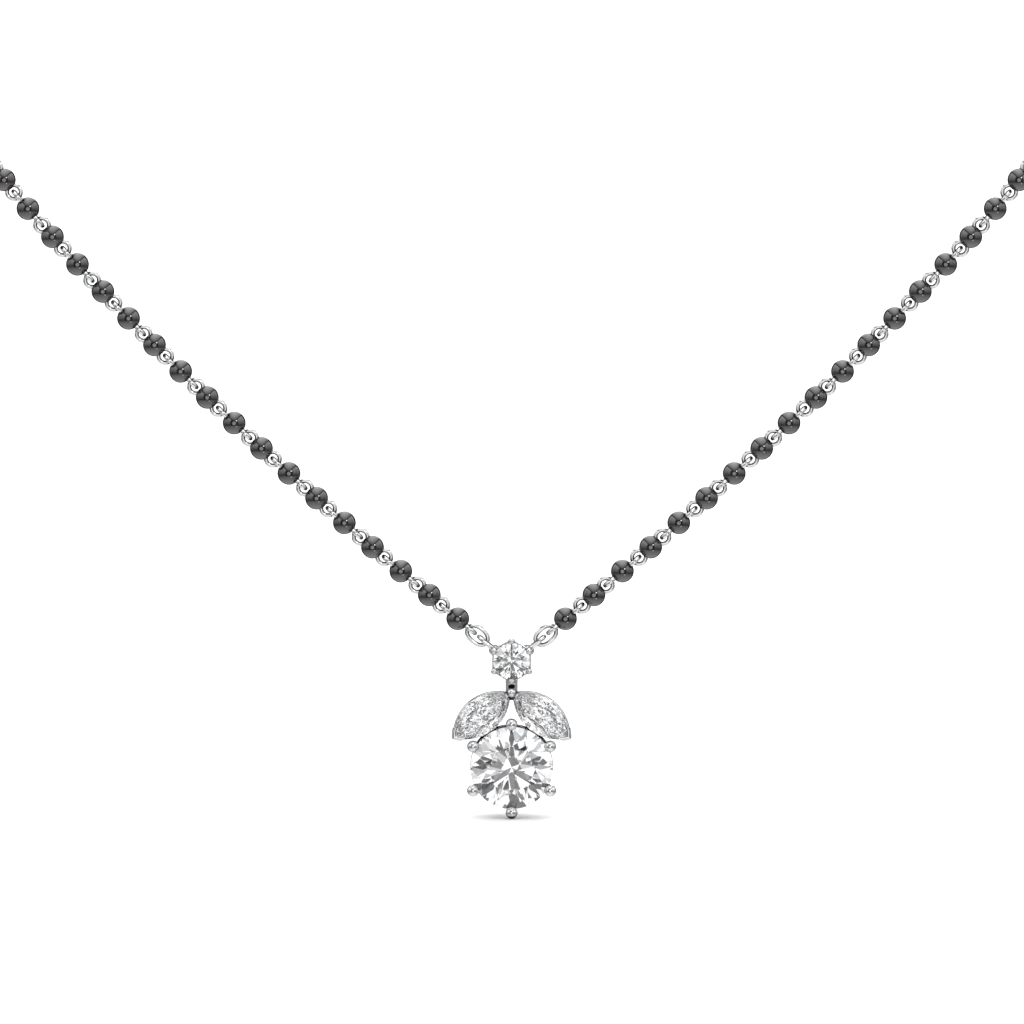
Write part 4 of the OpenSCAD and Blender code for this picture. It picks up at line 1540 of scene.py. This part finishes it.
@dataclass(frozen=True)
class Studio:
    """Pale floor, soft boxes painted on the sky, and the camera."""

    target: tuple = (0.035, -110.0, -91.96)
    elevation: float = 6.0
    distance: float = 1500.0
    picture_w: float = 89.0
    sensor_mm: float = 36.0
    clip_m: tuple = (0.01, 20.0)
    # paper: room under the pendant, half its width, and the light that it and metal get
    floor_gap: float = 0.05
    floor_half: float = 4000.0
    floor_colour: str = "#E6E6E6"
    floor_rough: tuple = (0.9, 1.0)
    fibre_mm: float = 2.5
    floor_gain: float = 2.95
    gloss_gain: float = 1.42
    # soft box overhead: strength, tilt, how it fades to its sides, its edges and their blur
    top: float = 1.42
    top_tilt: float = 115.0
    top_fade: float = 0.7
    top_power: float = 1.7
    panel_edge: tuple = (0.822, 0.11)
    panel_blur: float = 0.05
    horizon_blur: float = 0.04
    # pale walls beside it, the ground, and the dark that is left behind the camera and between
    gap: float = 1.12
    gap_blur: float = 0.06
    dark: float = 0.035
    horizon: float = 0.3
    haze: float = 0.11
    ground: float = 0.71
    ground_from: tuple = (-0.3, -0.43)
    round_camera: tuple = (0.86, 0.66)
    below_camera: tuple = (-0.3, -0.45)
    # far wall, behind the necklace
    rear_gain: float = 0.35
    rear_dark: float = 0.95
    rear_from: tuple = (0.45, 0.75)
    rear_middle: float = 0.05
    rear_level: tuple = (0.95, 0.5)
    # place that a mirror ball shows it at, cosines of its soft edge, and strength
    lamps: tuple = (((0.0, -0.035), 0.94, 0.95, 0.94), ((0.2, 0.19), 0.9935, 0.997, 6.0),
                    ((0.2, -0.33), 0.99, 0.994, 1.0))
    stone_light: float = 1.35
    # direction of each dark flag, cosine of its edge, and how dark it is
    flags: tuple = (
        ((-0.13, -0.9, -0.43), 0.91, 0.9), ((-0.02, -0.99, 0.14), 0.982, 0.86),
        ((-0.16, -0.88, 0.44), 0.94, 0.55), ((-0.02, -0.92, 0.39), 0.998, 0.9),
        ((-0.8, -0.42, 0.43), 0.95, 0.7), ((0.17, -0.9, -0.39), 0.99, 0.97),
        ((0.63, -0.66, 0.4), 0.985, 0.85), ((0.43, -0.37, 0.82), 0.92, 0.48),
        ((0.21, -0.98, -0.06), 0.994, 0.54))
    flag_soft: float = 0.25
    # soft half tones and faint colours that the stones pick up
    tone: tuple = (0.38, 0.52)
    half_tone: float = 0.85
    fire: tuple = ("#FFFAF5", "#FFFFFF", "#F6F9FF")
    fire_at: tuple = (0.36, 0.5, 0.64)
    fire_scale: float = 5.0
    stone_bounces: int = 32
    metal_bounces: int = 16

    def toward_camera(self) -> np.ndarray:
        """Direction from the pendant to the camera."""
        a = math.radians(self.elevation)
        return np.array([0, -math.cos(a), math.sin(a)])

    def seen_in_ball(self, u: float, v: float) -> np.ndarray:
        """Direction that a mirror ball shows at a place on its face.

        Args:
            u: place to the right of the ball's middle, as a share of its radius
            v: place above its middle
        Returns:
            The direction.
        """
        c = self.toward_camera()
        right = np.array([1, 0, 0])
        n = u * right + v * np.cross(right, -c) + math.sqrt(1 - u * u - v * v) * c
        return 2 * (n @ c) * n - c

    def camera(self) -> None:
        """Long lens at the photograph's angle."""
        data = bpy.data.cameras.new("camera")
        data.sensor_width = self.sensor_mm
        data.lens = self.sensor_mm * self.distance / self.picture_w
        data.clip_start, data.clip_end = self.clip_m
        obj = bpy.data.objects.new("camera", data)
        obj.location = (np.array(self.target) + self.toward_camera() * self.distance) * MM
        obj.rotation_euler = (math.radians(90 - self.elevation), 0, 0)
        bpy.context.scene.collection.objects.link(obj)
        bpy.context.scene.camera = obj

    def floor(self) -> None:
        """Matt paper floor just below the pendant, lit a little above white."""
        z, h = CAD_BOX[0].z / MM - self.floor_gap, self.floor_half
        sheet = Shape(np.array([[-h, -h, z], [h, -h, z], [h, h, z], [-h, h, z]]),
                      [(0, 1, 2, 3)])
        obj = bpy.data.objects.new("floor", sheet.mesh("floor", 0))
        made = bpy.data.materials.new("matt_paper")
        made.use_nodes = True
        tree = made.node_tree
        tree.nodes.clear()
        where = node(tree, "ShaderNodeTexCoord")
        fibre = node(tree, "ShaderNodeTexNoise", {
            "Vector": where.outputs["Object"], "Scale": 1 / (self.fibre_mm * MM)})
        rough = node(tree, "ShaderNodeMapRange", {
            "Value": fibre.outputs["Fac"], "To Min": self.floor_rough[0],
            "To Max": self.floor_rough[1]})
        paper = node(tree, "ShaderNodeBsdfPrincipled", {
            "Base Color": linear(self.floor_colour), "Roughness": rough.outputs[0],
            "Specular IOR Level": 0.0})
        node(tree, "ShaderNodeOutputMaterial", {"Surface": paper.outputs[0]})
        obj.data.materials.append(made)
        obj.visible_glossy = obj.visible_transmission = False
        bpy.context.scene.collection.objects.link(obj)

    def room(self, tree: bpy.types.NodeTree, where: bpy.types.NodeSocket) -> Amount:
        """Light of the soft boxes and the dim ground, as polished metal mirrors it.

        Args:
            tree: the sky's node tree
            where: direction looked in
        Returns:
            The light.
        """
        parts = node(tree, "ShaderNodeSeparateXYZ", {0: where})
        x, y, z = (Amount(tree, part) for part in parts.outputs)
        wide = x.worked("ABSOLUTE")
        edge = z * self.panel_edge[0] + y * self.panel_edge[1]
        across = wide.worked("DIVIDE", edge.worked("MAXIMUM", 0.01)).worked("MINIMUM", 1.0)
        fade = 1.0 - across.worked("POWER", self.top_power) * self.top_fade
        tilt = math.radians(self.top_tilt)
        over = toward(tree, where, (0, -math.cos(tilt), math.sin(tilt)))
        top = (over.worked("MAXIMUM", 0.0) * fade * (edge - wide).soft(0.0, self.panel_blur)
               * z.soft(0.0, self.horizon_blur) * self.top)
        up = (z + self.horizon).worked("MAXIMUM", self.haze)
        down = z * z.soft(*self.ground_from) * -self.ground
        beside = (wide - edge * self.gap).soft(0.0, self.gap_blur)
        rear = y.worked("MAXIMUM", 0.0) * self.rear_gain + 1.0
        clear = toward(tree, where, self.toward_camera()).soft(*self.round_camera).worked(
            "MAXIMUM", z.soft(*self.below_camera))
        level = (z - self.rear_middle).worked("ABSOLUTE").soft(*self.rear_level)
        behind = 1.0 - y.soft(*self.rear_from) * level * self.rear_dark
        light = top + up.worked("MAXIMUM", down) * beside * rear * clear * behind + self.dark
        for seen, start, end, strength in self.lamps:
            lamp = toward(tree, where, self.seen_in_ball(*seen))
            light = light + lamp.soft(start, end) * strength
        return light

    def stone_room(self, tree: bpy.types.NodeTree, where: bpy.types.NodeSocket,
                   cloud: Amount) -> Amount:
        """Light that reaches the eye through a stone: white, dimmed by the dark flags.

        Args:
            tree: the sky's node tree
            where: direction looked in
            cloud: soft noise over the sky
        Returns:
            The light.
        """
        tone = node(tree, "ShaderNodeMapRange", {
            "Value": cloud.socket, "From Min": self.tone[0], "From Max": self.tone[1],
            "To Min": self.half_tone, "To Max": 1.0})
        light = Amount(tree, tone.outputs[0]) * self.stone_light
        for way, reach, dark in self.flags:
            soft = (1 - reach) * self.flag_soft
            flag = toward(tree, where, way).soft(reach - soft, reach + soft)
            light = light * (1.0 - flag * dark)
        return light

    def sky(self) -> None:
        """Soft boxes on a dim ground, painted by direction; the camera itself sees white."""
        world = bpy.data.worlds.new("studio")
        bpy.context.scene.world = world
        world.use_nodes = True
        tree = world.node_tree
        tree.nodes.clear()
        where = node(tree, "ShaderNodeTexCoord").outputs["Generated"]
        path = node(tree, "ShaderNodeLightPath").outputs
        spread = node(tree, "ShaderNodeTexNoise", {
            "Vector": where, "Scale": self.fire_scale, "Detail": 2.0}).outputs["Fac"]
        gain = node(tree, "ShaderNodeMapRange", {
            "Value": path["Is Diffuse Ray"], "To Min": self.gloss_gain,
            "To Max": self.floor_gain})
        room = self.room(tree, where) * Amount(tree, gain.outputs[0])
        in_stone = self.stone_room(tree, where, Amount(tree, spread))
        through = path["Is Transmission Ray"]
        strength = node(tree, "ShaderNodeMix", {
            0: through, 2: room.socket, 3: in_stone.socket})
        fire = node(tree, "ShaderNodeValToRGB", {0: spread})
        for at, colour in zip(self.fire_at, self.fire):
            fire.color_ramp.elements.new(at).color = linear(colour)
        for end in (0, -1):
            fire.color_ramp.elements.remove(fire.color_ramp.elements[end])
        hue = node(tree, "ShaderNodeMix", {
            0: through, 6: (1, 1, 1, 1), 7: fire.outputs[0]}, data_type="RGBA")
        painted = node(tree, "ShaderNodeBackground", {
            "Color": hue.outputs[2], "Strength": strength.outputs[0]})
        white = node(tree, "ShaderNodeBackground", {"Color": (1, 1, 1, 1), "Strength": 1.0})
        mixed = node(tree, "ShaderNodeMixShader", {
            0: path["Is Camera Ray"], 1: painted.outputs[0], 2: white.outputs[0]})
        node(tree, "ShaderNodeOutputWorld", {"Surface": mixed.outputs[0]})

    def build(self) -> None:
        """Floor, sky, camera and the settings of light paths."""
        self.camera()
        self.floor()
        self.sky()
        scene = bpy.context.scene
        scene.view_settings.view_transform = "Standard"
        scene.cycles.max_bounces = scene.cycles.transmission_bounces = self.stone_bounces
        scene.cycles.glossy_bounces = self.metal_bounces
        scene.cycles.use_denoising = True


def main() -> None:
    """Builds the necklace piece by piece, then the studio."""
    logging.basicConfig(level=logging.INFO, format="%(message)s")
    Studio().build()
    string = BeadString()
    string.build()
    clasp = RingClasp()
    clasp.build()
    BackChain(string).build(clasp)
    Setting().build()


if __name__ == "__main__":
    main()
